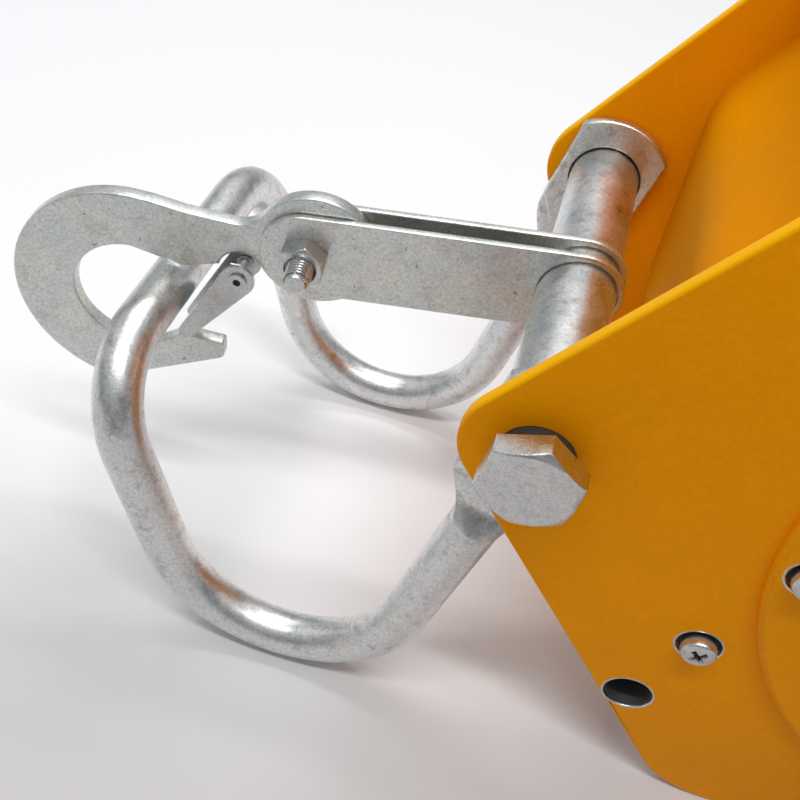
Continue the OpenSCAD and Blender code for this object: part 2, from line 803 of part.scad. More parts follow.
// Puts a shape drawn about the hook's bolt in its place on the link
module on_hook() {
    translate(hook_pin) children();
}

// A flat outline drawn about the hook's bolt, as thick as the hook and thicker by a margin for cuts
module hook_layer(margin = 0) {
    slab(hook_y - margin, hook_t + 2 * margin) on_hook() children();
}

// The hook's bowl and shank, open towards the latch and cut off along the tip's slope
module hook_body() {
    difference() {
        union() {
            hook_layer() translate(bowl_out) circle(r = hook_out_r);
            hook_layer() polygon(concat(shank_top, [[0, 0], latch_pin, bowl_out]));
        }
        hook_layer(cut) translate(bowl_in) circle(r = hook_in_r);
        hook_layer(cut) polygon(concat(
            [bowl_in + bowl_cut], shank_low,
            [[0, shank_low[1].y], [0, -2 * hook_out_r], [tip_nib[0].x, -2 * hook_out_r]],
            tip_nib, [bowl_in - [0, hook_in_r - bowl_step]]
        ));
        hook_layer(cut) translate(bowl_out) rotate(tip_slope)
            translate([-hook_out_r, -tip_line - hook_out_r]) square([3 * hook_out_r, hook_out_r]);
    }
}

module hook() {
    color(zinc) on_link() difference() {
        union() {
            hook_body();
            hook_layer() translate(hook_head) circle(r = hook_head_r);
            hook_layer() translate(latch_pin) circle(r = lug_r);
        }
        hook_layer(cut) circle(r = hook_bolt_d / 2 + fit_gap);
        hook_layer(cut) translate(latch_pin) circle(r = rivet_r);
    }
}

latch_front_y = hook_y - latch_front_gap;
latch_back_y = hook_y + hook_t + fit_gap;

// The latch's outline about its rivet, shrunk all round by a given wall
module latch_2d(wall) {
    belt([[[0, 0], latch_head_r - wall], [latch_len * latch_dir, latch_tip_r - wall]]);
}

// The latch: two cheeks beside the hook and a web along its outer edge
module latch() {
    color(zinc) on_link() {
        for (y = [latch_front_y - latch_t, latch_back_y])
            slab(y, latch_t) on_hook() translate(latch_pin) difference() {
                latch_2d(0);
                circle(r = rivet_r + fit_gap / 2);
            }
        slab(latch_front_y - latch_t, latch_back_y - latch_front_y + 2 * latch_t)
            on_hook() translate(latch_pin) intersection() {
                difference() {
                    latch_2d(0);
                    latch_2d(latch_t);
                }
                rotate(atan2(latch_dir.y, latch_dir.x)) translate([web_start, 0])
                    square([web_end - web_start, latch_head_r]);
            }
    }
}

module latch_rivet() {
    y0 = latch_front_y - latch_t;
    y1 = latch_back_y + latch_t;
    pin = hook_pin + latch_pin;
    color(zinc) on_link() difference() {
        union() {
            bar_y(pin, rivet_r, y0 - rivet_head_t, y1 + rivet_head_t);
            bar_y(pin, rivet_head_r, y0 - rivet_head_t - fit_gap / 2, y0 - fit_gap / 2);
            bar_y(pin, rivet_head_r, y1 + fit_gap / 2, y1 + rivet_head_t + fit_gap / 2);
        }
        bar_y(pin, rivet_bore_r, y0 - rivet_head_t - cut, y1 + rivet_head_t + cut);
    }
}

module latch_spring() {
    pin = hook_pin + latch_pin;
    leg = 3;
    color(steel) on_link()
        translate([pin.x, latch_front_y + latch_wire_d / 2 + fit_gap, pin.y])
            coil(latch_coil_r(), latch_wire_d, latch_pitch(), latch_turns(), leg);
}

module drum_core() {
    color(zinc) place() difference() {
        bar_y([drum_x, 0], core_r, -core_y, core_y);
        bar_y([drum_x, 0], core_r - core_wall, -core_y - cut, core_y + cut);
        for (s = [-1, 1]) translate([drum_x, clamp_y + s * clamp_screw_at, 0]) cylinder(d = clamp_screw_d, h = plate_h);
    }
}

// A drum flange, round its axle
module flange_2d() {
    translate([drum_x, 0]) difference() {
        circle(r = flange_r);
        circle(r = axle_r);
    }
}

module front_flange() {
    color(zinc) place() slab(-flange_y, flange_t) flange_2d();
}

module rear_flange() {
    color(zinc) place() slab(core_y, flange_t) flange_2d();
}

module drum_axle() {
    color(steel) place() {
        bar_y([drum_x, 0], axle_r, -axle_shoulder_y, boss_y + loose_gap + collar_h);
        bar_y([drum_x, 0], axle_thread_r, -axle_end_y, -axle_shoulder_y);
    }
}

module axle_nut() {
    color(zinc) place() difference() {
        hex_y([drum_x, 0], axle_nut_flats, 0, -axle_shoulder_y - axle_nut_h, -axle_shoulder_y);
        bar_y([drum_x, 0], axle_thread_r, -axle_end_y - cut, -axle_shoulder_y + cut);
    }
}

module axle_collar() {
    y0 = boss_y + loose_gap;
    color(zinc) place() difference() {
        bar_y([drum_x, 0], collar_r, y0, y0 + collar_h);
        bar_y([drum_x, 0], axle_r, y0 - cut, y0 + collar_h + cut);
    }
}

// Saddle on the drum's core: the rope lies in its hole under two screws
module rope_clamp() {
    color(zinc) place() difference() {
        translate([drum_x - clamp_len / 2, clamp_y - clamp_w / 2, 0]) cube([clamp_len, clamp_w, clamp_top]);
        bar_y([drum_x, 0], core_r, clamp_y - clamp_w, clamp_y + clamp_w);
        translate([drum_x - clamp_len, clamp_y, rope_z]) rotate([0, 90, 0]) cylinder(r = rope_r, h = 2 * clamp_len);
        for (s = [-1, 1]) translate([drum_x, clamp_y + s * clamp_screw_at, 0]) cylinder(d = clamp_screw_d, h = plate_h);
    }
}

module clamp_screws() {
    socket_d = 3.4;
    color(steel) place() for (s = [-1, 1]) translate([drum_x, clamp_y + s * clamp_screw_at, 0]) difference() {
        union() {
            translate([0, 0, core_r - core_wall]) cylinder(d = clamp_screw_d, h = clamp_top + core_wall - core_r);
            translate([0, 0, clamp_top]) cylinder(r = clamp_screw_head_r, h = clamp_screw_head_h);
        }
        translate([0, 0, clamp_top + clamp_screw_head_h / 2]) cylinder(d = socket_d, h = clamp_screw_head_h, $fn = 6);
    }
}

// Saw teeth: each rises along a radius and slopes down to the root of the next
module ratchet_2d() {
    translate([drum_x, 0]) difference() {
        polygon([
            for (i = [0:teeth - 1]) each [
                root_r * [cos(i * pitch), sin(i * pitch)],
                ratchet_r * [cos(i * pitch), sin(i * pitch)]
            ]
        ]);
        circle(r = axle_r);
    }
}

module ratchet_wheel() {
    color(steel) place() slab(-ratchet_y - ratchet_t, ratchet_t) ratchet_2d();
}

// A pawl about its pivot, drawn in the teeth: u runs with the wheel's turn and v away from its centre
module pawl_uv() {
    tip = [pawl_reach, -pawl_lift];
    back = [-ratchet_r * sin(pitch), ratchet_r * cos(pitch) - root_r];
    slope = unit(back);
    lift = tooth_gap * [-slope.y, slope.x] * -1;
    heel = tip + back + 1.5 * lift;
    difference() {
        union() {
            circle(r = pawl_boss_r);
            polygon([
                tip + [-tooth_face_gap, tooth_gap],
                tip + [-tooth_face_gap, pawl_tip_h],
                [0, pawl_boss_r],
                [0, -pawl_boss_r],
                heel
            ]);
        }
        circle(r = pawl_pin_r + axle_gap);
    }
}

// A pawl lifted out of the teeth, for a tip at angle a on the wheel
module pawl_2d(a) {
    translate(drum_at(pawl_pivot_r, a - pawl_lead)) rotate(a) rotate(-pawl_turn) rotate(90) mirror([0, 1]) pawl_uv();
}

module hold_pawl() {
    color(steel) place() slab(-ratchet_y - ratchet_t + loose_gap, hold_pawl_t) pawl_2d(hold_angle);
}

module hold_pawl_pin() {
    spring_y = ratchet_y + ratchet_t + loose_gap + hold_spring_turns * pawl_pitch() + 2 * pawl_wire_d;
    color(zinc) place() {
        bar_y(hold_pivot, pawl_pin_r, -spring_y, -out_y);
        bar_y(hold_pivot, hold_pin_base_r, -ratchet_y, -cover_y);
        bar_y(hold_pivot, pawl_boss_r, -spring_y - hold_pin_head_t, -spring_y);
    }
}

module hold_pawl_spring() {
    leg = 5;
    color(steel) place()
        translate([hold_pivot.x, -ratchet_y - ratchet_t - loose_gap - pawl_wire_d / 2, hold_pivot.y])
            mirror([0, 1, 0]) rotate([0, 150, 0])
                coil(pawl_coil_r(), pawl_wire_d, pawl_pitch(), hold_spring_turns, leg);
}

module lever_stop() {
    p = [drum_x + stop_at, -stop_drop];
    color(zinc) place() {
        bar_y(p, stop_root_r, -cover_y, -out_y);
        bar_y(p, stop_r, -axle_shoulder_y, -cover_y);
    }
}

// A lever cheek: round the axle at one end, with holes for the pawl's pin and the lever's bolts
module cheek_2d() {
    difference() {
        belt([[[drum_x, 0], cheek_hub_r], [[drum_x + cheek_len, 0], cheek_end_r]]);
        translate([drum_x, 0]) circle(r = axle_r + axle_gap);
        translate(drive_pivot) circle(r = pawl_pin_r);
        for (x = lever_bolts_at) translate([drum_x + x, 0]) circle(d = lever_bolt_d);
    }
}

module inner_cheek() {
    color(steel) place() slab(-cheek_y - cheek_t, cheek_t) cheek_2d();
}

module outer_cheek() {
    color(steel) place() slab(-outer_cheek_y - cheek_t, cheek_t) cheek_2d();
}

// The lever's tube with the flat tongue that lies between the cheeks
module lever_arm() {
    color(zinc) place() difference() {
        union() {
            slab(lever_mid_y - tongue_t / 2, tongue_t) difference() {
                belt([
                    [[drum_x + tongue_start, 0], cheek_end_r - 4],
                    [[drum_x + tongue_end, 0], lever_tube_d / 2 - lever_wall]
                ]);
                for (x = lever_bolts_at) translate([drum_x + x, 0]) circle(d = lever_bolt_d);
            }
            translate([drum_x + lever_tube_start, lever_mid_y, 0]) rotate([0, 90, 0])
                cylinder(d = lever_tube_d, h = lever_len - lever_tube_start - grip_wall);
        }
        translate([drum_x + tongue_end, lever_mid_y, 0]) rotate([0, 90, 0])
            cylinder(d = lever_tube_d - 2 * lever_wall, h = lever_len);
    }
}

// Rubber grip: a turned sleeve with a closed round end and grooves
module lever_grip() {
    color(black) place() translate([drum_x + lever_len - grip_len, lever_mid_y, 0]) rotate([0, 90, 0])
        rotate_extrude() difference() {
            union() {
                square([grip_r, grip_len - grip_wall]);
                square([grip_r - grip_wall, grip_len]);
                translate([grip_r - grip_wall, grip_len - grip_wall]) circle(r = grip_wall);
            }
            square([lever_tube_d / 2, grip_len - grip_wall]);
            translate([-2 * grip_r, 0]) square([2 * grip_r, grip_len]);
            for (i = [0:grip_grooves - 1]) translate([grip_r, grip_pitch * (i + 1)]) circle(r = groove_r);
        }
}

module lever_bolts() {
    front_y = -outer_cheek_y - cheek_t;
    back_y = -cheek_y;
    color(zinc) place() for (x = lever_bolts_at) {
        p = [drum_x + x, 0];
        bar_y(p, lever_bolt_d / 2, front_y, back_y);
        hex_y(p, lever_bolt_flats, 0, front_y - lever_bolt_head_h, front_y);
        hex_y(p, lever_bolt_flats, 0, back_y, back_y + lever_bolt_head_h);
    }
}

module drive_pawl_pin() {
    front_y = -outer_cheek_y - cheek_t;
    head_t = 2.5;
    color(zinc) place() {
        bar_y(drive_pivot, pawl_pin_r, front_y, -cheek_y);
        bar_y(drive_pivot, pawl_boss_r, front_y - head_t, front_y);
    }
}

module drive_pawl() {
    color(steel) place() slab(-ratchet_y - ratchet_t, drive_pawl_t) pawl_2d(drive_angle);
}

module drive_pawl_spring() {
    leg = 3;
    color(steel) place()
        translate([drive_pivot.x, -drive_pawl_y + pawl_wire_d / 2 + fit_gap, drive_pivot.y]) rotate([0, -60, 0])
            coil(pawl_coil_r(), pawl_wire_d, pawl_pitch(), drive_spring_turns, leg);
}

front_plate();
rear_plate();
anchor_bolt();
anchor_nut();
anchor_tube();
anchor_bushes();
drum_guard();
tie_posts();
nose_tubes();
frame_screws();
frame_bushes();
guard_nuts();
front_cover();
rear_cover();
cover_screws();
cover_bushes();
axle_bushes();
bail();
link_plate_front();
link_plate_rear();
hook_bolt();
hook_nut();
hook();
latch_rivet();
latch();
latch_spring();
drum_core();
front_flange();
rear_flange();
drum_axle();
axle_nut();
axle_collar();
rope_clamp();
clamp_screws();
ratchet_wheel();
hold_pawl_pin();
hold_pawl();
hold_pawl_spring();
lever_stop();
inner_cheek();
outer_cheek();
lever_arm();
lever_grip();
lever_bolts();
drive_pawl_pin();
drive_pawl();
drive_pawl_spring();
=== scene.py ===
import json
import math

import bmesh
import bpy
import numpy as np
from bpy.props import FloatProperty, FloatVectorProperty, PointerProperty
from mathutils import Matrix, Vector
from mathutils.geometry import tessellate_polygon


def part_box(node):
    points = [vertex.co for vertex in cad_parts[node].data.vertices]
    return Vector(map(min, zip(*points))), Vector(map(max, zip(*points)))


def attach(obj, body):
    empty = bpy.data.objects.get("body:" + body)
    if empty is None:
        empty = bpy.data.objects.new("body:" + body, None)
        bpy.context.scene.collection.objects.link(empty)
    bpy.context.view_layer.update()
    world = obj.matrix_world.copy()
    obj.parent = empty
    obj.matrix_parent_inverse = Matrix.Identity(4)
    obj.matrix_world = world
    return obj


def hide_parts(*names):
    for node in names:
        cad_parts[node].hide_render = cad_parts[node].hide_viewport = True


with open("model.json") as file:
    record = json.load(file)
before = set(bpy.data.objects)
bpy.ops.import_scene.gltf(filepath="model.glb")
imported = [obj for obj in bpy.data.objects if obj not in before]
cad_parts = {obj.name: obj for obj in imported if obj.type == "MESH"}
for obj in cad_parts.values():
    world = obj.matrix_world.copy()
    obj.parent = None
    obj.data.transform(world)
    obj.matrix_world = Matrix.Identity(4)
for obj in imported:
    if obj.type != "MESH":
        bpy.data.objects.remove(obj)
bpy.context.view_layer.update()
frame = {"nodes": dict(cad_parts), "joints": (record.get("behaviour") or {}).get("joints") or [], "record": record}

bl_info = {
    "name": "Come along winch looks",
    "version": (1, 0, 0),
    "blender": (4, 5, 0),
    "location": "3D View > Sidebar > Winch",
    "description": "Dresses the packed come along winch and sets its studio",
    "category": "Object",
}

JOINT = {joint["name"]: joint for joint in frame["joints"]}
MM = 0.001
ANCHOR = np.array(JOINT["bail_swing"]["pos_m"]) / MM


def from_anchor(joint):
    """A joint's place in millimetres from the anchor bolt's middle."""
    return np.array(JOINT[joint]["pos_m"]) / MM - ANCHOR


DRUM = from_anchor("drum_spin")
ACROSS = np.array((0.0, 1.0, 0.0))
LINK = from_anchor("link_swing")
SKEW = np.array(JOINT["hook_pivot"]["axis"])
LINK_AXES = np.array(((SKEW[1], -SKEW[0], 0.0), SKEW, (0.0, 0.0, 1.0)))


def on_link(surface):
    """A surface drawn straight, carried to the link, which stands askew on the tube."""
    points, faces = surface
    return points @ LINK_AXES + LINK, faces


def link_spot(joint):
    """A joint's place along and up the link, measured from the tube."""
    return (LINK_AXES @ (from_anchor(joint) - LINK))[[0, 2]]


HOOK_PIN = link_spot("hook_pivot")
LATCH_PIN = link_spot("latch_pivot")


def length(label, words, default):
    """A size in millimetres, or in degrees where its words say so, as one property of the winch."""
    return FloatProperty(name=label, description=words, default=default, precision=3)


def colour(label, words, default):
    """A linear colour, as one property of the winch."""
    return FloatVectorProperty(name=label, description=words, default=default, size=3, subtype="COLOR", min=0, max=1)


def spot(label, words, default):
    """A place in millimetres along the winch and up, as one property of the winch."""
    return FloatVectorProperty(name=label, description=words, default=default, size=2)


class WinchPlates(bpy.types.PropertyGroup):
    """Sizes of the two side plates and their holes."""

    nose_r: length("Nose radius", "Round of the plates about the anchor bolt", 20.0)
    slope: length("Nose slope", "Slope of the nose's edges, in degrees", 53.9)
    corner_r: length("Corner radius", "Corners between nose and flat top", 30.0)
    end_r: length("End radius", "Corners at the rope end", 60.0)
    edge: length("Edge rounding", "Rounding of the plates' edges under the paint", 0.9)
    bush_r: length("Bush hole", "Radius of the anchor bush's hole", 9.8)
    screw_hole_r: length("Screw hole", "Radius of a screw's hole", 6.2)
    rim: length("Bare rim", "Width of the bare metal rim round a hole", 0.75)
    tube_hole_r: length("Tube hole", "Radius of a nose tube's bore", 7.2)
    tube_edge: length("Tube to edge", "Distance of a nose tube from the plate's edge", 8.1)
    tube_along: length("Tube along edge", "Distance of a nose tube from the bolt, along the edge", 98.1)
    guard_screw: spot("Guard screw", "Place of a guard screw from the bolt", (58.5, 53.7))
    end_screw: spot("End screw", "Place of an end screw from the drum's axle", (91.0, 96.0))
    cover_r: length("Cover radius", "Radius of the round covers", 108.0)
    cover_t: length("Cover rise", "How far a cover stands out of its plate", 3.0)
    cover_seat: length("Cover seat", "Plate left behind a cover's rim", 18.0)
    cover_screw_r: length("Cover screw circle", "Distance of the cover screws from the axle", 98.4)
    cover_screw_turn: length("Cover screw turn", "Angle of the first cover screw, in degrees", 186.6)


class WinchBail(bpy.types.PropertyGroup):
    """Sizes of the bent rod bail."""

    rod_r: length("Rod radius", "Radius of the rod", 7.5)
    bend_r: length("Bend radius", "Radius of the bend near the floor", 41.6)
    bend_x: length("Bend place", "Distance of that bend in front of the bolt", 63.3)
    bar: spot("Cross bar", "Cross bar from the bolt", (-121.9, -28.3))
    corner_r: length("Corner radius", "Radius of the cross bar's corners", 27.7)
    arm_y: length("Arm place", "Distance of an arm from the winch's middle", 64.0)
    eye_r: length("Eye radius", "Round end of a flattened eye", 21.2)
    eye_w: length("Eye width", "Width of a flattened eye", 31.0)
    eye_low: length("Eye inside", "Inner face of an eye from the winch's middle", 62.5)
    eye_high: length("Eye outside", "Outer face of an eye from the winch's middle", 66.5)
    taper: spot("Taper", "Where the eye starts and ends to narrow, from the bolt", (18.0, 38.0))
    facet: spot("Facet", "Where the eye starts and ends to thicken, from the bolt", (31.0, 39.0))
    bore_r: length("Bore radius", "Hole in an eye for the spacer tube", 12.0)


class WinchHook(bpy.types.PropertyGroup):
    """Sizes of the link bars and the hook."""

    link_w: length("Link width", "Width of the two link bars", 27.4)
    link_gap: length("Link gap", "Gap between the two link bars", 5.6)
    link_t: length("Link thickness", "Thickness of a link bar", 2.4)
    hook_t: length("Hook thickness", "Thickness of the hook", 5.0)
    bolt_r: length("Bolt radius", "Radius of the hook's bolt", 4.0)
    thread: length("Thread pitch", "Pitch of the hook bolt's thread", 1.25)
    threaded: length("Threaded end", "Length of the hook bolt's thread", 16.0)
    bolt_out: length("Bolt end", "How far the hook's bolt stands out of its nut", 7.1)
    nut: length("Nut flats", "Width over the flats of the hook's nut", 13.0)
    nut_turn: length("Nut turn", "Turn of the hook's nut, in degrees", 23.0)
    nut_h: length("Nut height", "Height of the hook's nut and of its bolt's head", 6.4)
    head_r: length("Head radius", "Round of the hook's head", 18.4)
    head_c: spot("Head centre", "Centre of the hook's head from its bolt", (2.6, 0.4))
    out_r: length("Outer bowl", "Outer radius of the bowl", 38.2)
    in_r: length("Inner bowl", "Inner radius of the bowl", 19.1)
    out_c: spot("Outer centre", "Centre of the bowl's outside", (-54.0, -30.1))
    in_c: spot("Inner centre", "Centre of the bowl's inside", (-53.6, -29.2))
    neck_r: length("Neck radius", "Hollow between shank and head", 10.0)
    shoulder: spot("Shoulder", "Where the shank's top starts to rise, from the bolt", (-37.0, 6.1))
    bowl_rise: spot("Bowl rise", "Where the shank's top runs into the bowl, from the bolt", (-47.5, 7.75))
    bowl_aim: spot("Bowl aim", "Point that the edge from there aims at", (-56.0, 7.9))
    nib_end: spot("Nib end", "Upper corner of the tip, from the bolt", (-24.6, -42.6))
    nib_mid: spot("Nib middle", "Middle of the tip's upper edge, from the bolt", (-32.0, -42.1))
    nib_root: spot("Nib root", "Where that edge turns into the bowl, from the bolt", (-38.5, -41.4))
    mouth: spot("Mouth", "Upper corner of the bowl's mouth, from the bolt", (-37.8, -13.8))
    lug_aim: spot("Lug aim", "Point that the edge from the mouth aims at", (-17.2, -8.0))
    shank_h: length("Shank top", "Height of the shank's top edge", 5.1)
    tip_slope: length("Tip slope", "Slope of the tip's lower edge, in degrees", 25.2)
    tip_line: length("Tip line", "Distance of that edge from the bowl's outer centre", 29.7)
    lug_r: length("Lug radius", "Round lug that carries the latch", 7.0)
    edge: length("Edge rounding", "Rolled edge of the stamped pieces", 0.7)


class WinchFasteners(bpy.types.PropertyGroup):
    """Sizes of the bolts, nuts and screws."""

    anchor_flats: length("Anchor flats", "Width over the flats of the anchor bolt and nut", 24.0)
    anchor_r: length("Anchor radius", "Radius of the anchor bolt", 8.0)
    anchor_turn: length("Anchor turn", "Turn of the anchor bolt's head, in degrees", 20.3)
    anchor_head: length("Anchor head", "Height of the anchor bolt's head", 7.4)
    anchor_thread: length("Anchor pitch", "Pitch of the anchor bolt's thread", 2.0)
    anchor_threaded: length("Anchor thread", "Length of the anchor bolt's threaded end", 18.0)
    screw_head_r: length("Screw head", "Radius of a pan head", 5.0)
    screw_head_h: length("Screw head height", "Height of a pan head", 3.9)
    screw_r: length("Screw radius", "Radius of a screw's shank", 2.5)
    axle_flats: length("Axle nut flats", "Width over the flats of the axle's nut", 36.0)
    axle_thread_r: length("Axle thread", "Radius of the axle's threaded end", 12.0)
    lever_flats: length("Lever bolt flats", "Width over the flats of the lever's bolts", 16.0)
    lever_bolt_r: length("Lever bolt", "Radius of the lever's bolts", 5.0)
    lever_head: length("Lever bolt head", "Height of those bolts' heads and nuts", 6.4)
    lever_bolt_at: spot("Lever bolt places", "Distance of the two bolts from the drum's axle", (122.0, 150.0))


class WinchFinish(bpy.types.PropertyGroup):
    """Colours of the winch's finishes."""

    paint: colour("Powder coat", "Yellow of the plates, guard and covers", (0.95, 0.335, 0.001))
    zinc: colour("Zinc", "Zinc plate on rods, bars and fasteners", (0.68, 0.685, 0.68))
    scuff: colour("Scuff", "Brownish rubbed marks in the zinc", (0.26, 0.20, 0.13))
    bush: colour("Bush", "Black bushes under the screws and bolt", (0.006, 0.006, 0.007))
    dark: colour("Dark steel", "Oiled steel of ratchet, pawls and cheeks", (0.16, 0.16, 0.165))
    bronze: colour("Bronze", "Turned bronze bushes", (0.55, 0.36, 0.15))
    rubber: colour("Rubber", "Grip of the lever", (0.018, 0.018, 0.019))


class WinchCamera(bpy.types.PropertyGroup):
    """Where the photograph was taken from."""

    place: FloatVectorProperty(
        name="Place", description="Camera from the anchor bolt's middle", size=3, subtype="XYZ",
        default=(-10.82, -240.287, 173.93),
    )
    turn: FloatProperty(name="Turn", description="Angle to the left", default=15.483)
    tilt: FloatProperty(name="Tilt", description="Angle down", default=42.985)
    roll: FloatProperty(name="Roll", description="Slope of the winch in the picture", default=7.7)
    lens: FloatProperty(name="Lens", description="Focal length in millimetres", default=44.6)


class WinchProps(bpy.types.PropertyGroup):
    """All settings of the winch."""

    plates: PointerProperty(type=WinchPlates)
    bail: PointerProperty(type=WinchBail)
    hook: PointerProperty(type=WinchHook)
    fasteners: PointerProperty(type=WinchFasteners)
    finish: PointerProperty(type=WinchFinish)
    view: PointerProperty(type=WinchCamera)


def props():
    """The settings of this scene's winch."""
    return bpy.context.scene.winch


# Outlines, as points along the winch and up


def arc(centre, radius, start, end, step=4.0):
    """Points on a circle from one angle to another, in degrees."""
    count = max(2, int(abs(end - start) / step) + 2)
    a = np.radians(np.linspace(start, end, count))
    return np.asarray(centre) + radius * np.stack((np.cos(a), np.sin(a)), -1)


def hole(centre, radius, step=7.5):
    """A full circle taken clockwise, as the outline of a hole."""
    return arc(centre, radius, 360.0, 0.0, step)[:-1]


def belt(circles, step=4.0):
    """Outline round a ring of circles, taken anticlockwise: arcs joined by their outer tangents."""
    centres = np.array([c for c, _ in circles], float)
    radii = np.array([r for _, r in circles], float)
    run = np.roll(centres, -1, 0) - centres
    far = np.linalg.norm(run, axis=1, keepdims=True)
    along = run / far
    lean = (radii - np.roll(radii, -1))[:, None] / far
    out = lean * along + np.sqrt(1 - lean**2) * np.stack((along[:, 1], -along[:, 0]), 1)
    leave = np.degrees(np.arctan2(out[:, 1], out[:, 0]))
    come = np.roll(leave, 1)
    return np.concatenate([arc(c, r, a, a + (b - a) % 360, step) for c, r, a, b in zip(centres, radii, come, leave)])


def bearing(point, centre):
    """Angle of a point about a centre, in degrees."""
    gap = np.asarray(point) - np.asarray(centre)
    return math.degrees(math.atan2(gap[1], gap[0]))


def crossing(start, end, centre, radius):
    """Where the line from start to end first meets a circle: the smaller root of the distance's square."""
    start, end, centre = (np.asarray(p, float) for p in (start, end, centre))
    d, gap = end - start, start - centre
    a, b, c = d @ d, gap @ d, gap @ gap - radius**2
    return start + d * (-b - math.sqrt(b * b - a * c)) / a


def touch(point, centre, radius, side):
    """Where a line from a point touches a circle, on its left (1) or right (-1) side."""
    d = np.asarray(centre, float) - np.asarray(point, float)
    far = math.hypot(*d)
    a = math.atan2(d[1], d[0]) + side * math.asin(radius / far)
    return np.asarray(point, float) + math.sqrt(far**2 - radius**2) * np.array((math.cos(a), math.sin(a)))


def rounded(corner, ends, radius, count=6):
    """A corner between two straight edges as an arc of the radius: its tangents meet at the corner."""
    sides = [np.asarray(end) - corner for end in ends]
    sides = [side / np.linalg.norm(side) for side in sides]
    half = math.acos(sides[0] @ sides[1]) / 2
    middle = (sides[0] + sides[1]) / np.linalg.norm(sides[0] + sides[1])
    centre = corner + radius / math.sin(half) * middle
    spread = math.pi / 2 - half
    turn = np.sign(sides[0][0] * sides[1][1] - sides[0][1] * sides[1][0])
    a = math.atan2(-middle[1], -middle[0]) - turn * np.linspace(-spread, spread, count)
    return centre + radius * np.stack((np.cos(a), np.sin(a)), 1)


def inset(loop, distance):
    """An outline moved into its material: each corner goes along the mitre of its two edges' left sides."""
    run = np.roll(loop, -1, 0) - loop
    left = np.stack((-run[:, 1], run[:, 0]), 1) / np.linalg.norm(run, axis=1, keepdims=True)
    both = left + np.roll(left, 1, 0)
    return loop + distance * 2 * both / (both**2).sum(1, keepdims=True)


# Surfaces, as millimetre points from the anchor bolt and faces that number them


def grid_faces(rows, cols, wrap_rows=False):
    """Quads of a grid of rows by cols points, numbered row by row; its columns close round."""
    r, c = np.meshgrid(np.arange(rows if wrap_rows else rows - 1), np.arange(cols), indexing="ij")
    r1, c1 = (r + 1) % rows, (c + 1) % cols
    return np.stack((r * cols + c, r * cols + c1, r1 * cols + c1, r1 * cols + c), -1).reshape(-1, 4).tolist()


def joined(parts):
    """Several surfaces as one list of points and one list of faces."""
    starts = np.cumsum([0] + [len(points) for points, _ in parts])
    faces = [[i + start for i in face] for (_, group), start in zip(parts, starts) for face in group]
    return np.concatenate([points for points, _ in parts]), faces


def flat_fill(rings, starts):
    """Triangles that fill an outline less its holes, numbered in the whole surface."""
    numbers = np.concatenate([start + np.arange(len(ring)) for ring, start in zip(rings, starts)])
    triangles = tessellate_polygon([[Vector((p[0], p[1], 0)) for p in ring] for ring in rings])
    return numbers[np.array(triangles)].tolist()


def sheet(loops, low, high, edge, hole_edge=0.25, steps=5):
    """A flat plate from y low to high. Each outline is carried over two quarter rounds: at angle a it is moved
    in by edge (1 - sin a) and lies edge (1 - cos a) below the face. The two faces are filled."""
    parts, fronts, backs, start = [], [], [], 0
    turn = np.linspace(0, math.pi / 2, steps)
    for number, loop in enumerate(loops):
        round_r = hole_edge if number else edge
        moved = np.concatenate(([round_r + 0.15], round_r * (1 - np.sin(turn))))
        below = np.concatenate(([0.0], round_r * (1 - np.cos(turn))))
        rings = np.stack([inset(loop, d) for d in np.concatenate((moved, moved[::-1]))])
        y = np.concatenate((low + below, high - below[::-1]))
        grid = np.stack((rings[..., 0], np.broadcast_to(y[:, None], rings.shape[:2]), rings[..., 1]), -1)
        parts.append((grid.reshape(-1, 3), grid_faces(*rings.shape[:2])))
        fronts.append((rings[0], start))
        start += rings.shape[0] * rings.shape[1]
        backs.append((rings[-1], start - rings.shape[1]))
    points, faces = joined(parts)
    for rings in (fronts, backs):
        faces += flat_fill([ring for ring, _ in rings], [first for _, first in rings])
    return points, faces


def turned(place, radius, depth, first=0.0, closed=False, count=96):
    """A surface round a line across the winch: in each row a point at angle q lies at radius (row, q) and
    depth (row, q). Rows that end at radius 0 close the surface, or its last row joins its first."""
    q = first + np.linspace(0, 2 * math.pi, count, endpoint=False)
    radius, depth = np.broadcast_arrays(np.asarray(radius, float) + 0 * q, np.asarray(depth, float) + 0 * q)
    points = np.stack((place[0] + radius * np.cos(q), depth, place[1] + radius * np.sin(q)), -1)
    return points.reshape(-1, 3), grid_faces(len(radius), count, closed)


def column(values):
    """A list of numbers as one column, to be spread over all angles."""
    return np.array(values, float)[:, None]


def hex_radius(flats, count=96):
    """Radius of a hexagon with a corner at angle 0: half its flats over the cosine from the nearest flat."""
    q = np.linspace(0, 2 * math.pi, count, endpoint=False)
    return flats / 2 / np.cos(np.mod(q, math.pi / 3) - math.pi / 6)


def hex_rows(flats, height, both=False):
    """Rows of a hexagon from its face down to its seat: the lesser of the hexagon and a 30 degree cone."""
    hexagon = hex_radius(flats)
    face = 0.472 * flats
    fall = (hexagon.max() - face) * math.tan(math.radians(30))
    depth = np.linspace(0.0, fall, 12)
    top = np.minimum(hexagon, face + column(depth) / math.tan(math.radians(30)))
    depths = [column([0.0]) + 0 * hexagon, column(depth) + 0 * hexagon]
    radii = [column([0.985 * face]) + 0 * hexagon, top]
    if both:
        radii.append(top[::-1])
        depths.append(height - column(depth[::-1]) + 0 * hexagon)
    else:
        radii.append(np.stack((hexagon, hexagon - 0.2)))
        depths.append(column([height - 0.2, height]) + 0 * hexagon)
    return np.concatenate(radii), np.concatenate(depths)


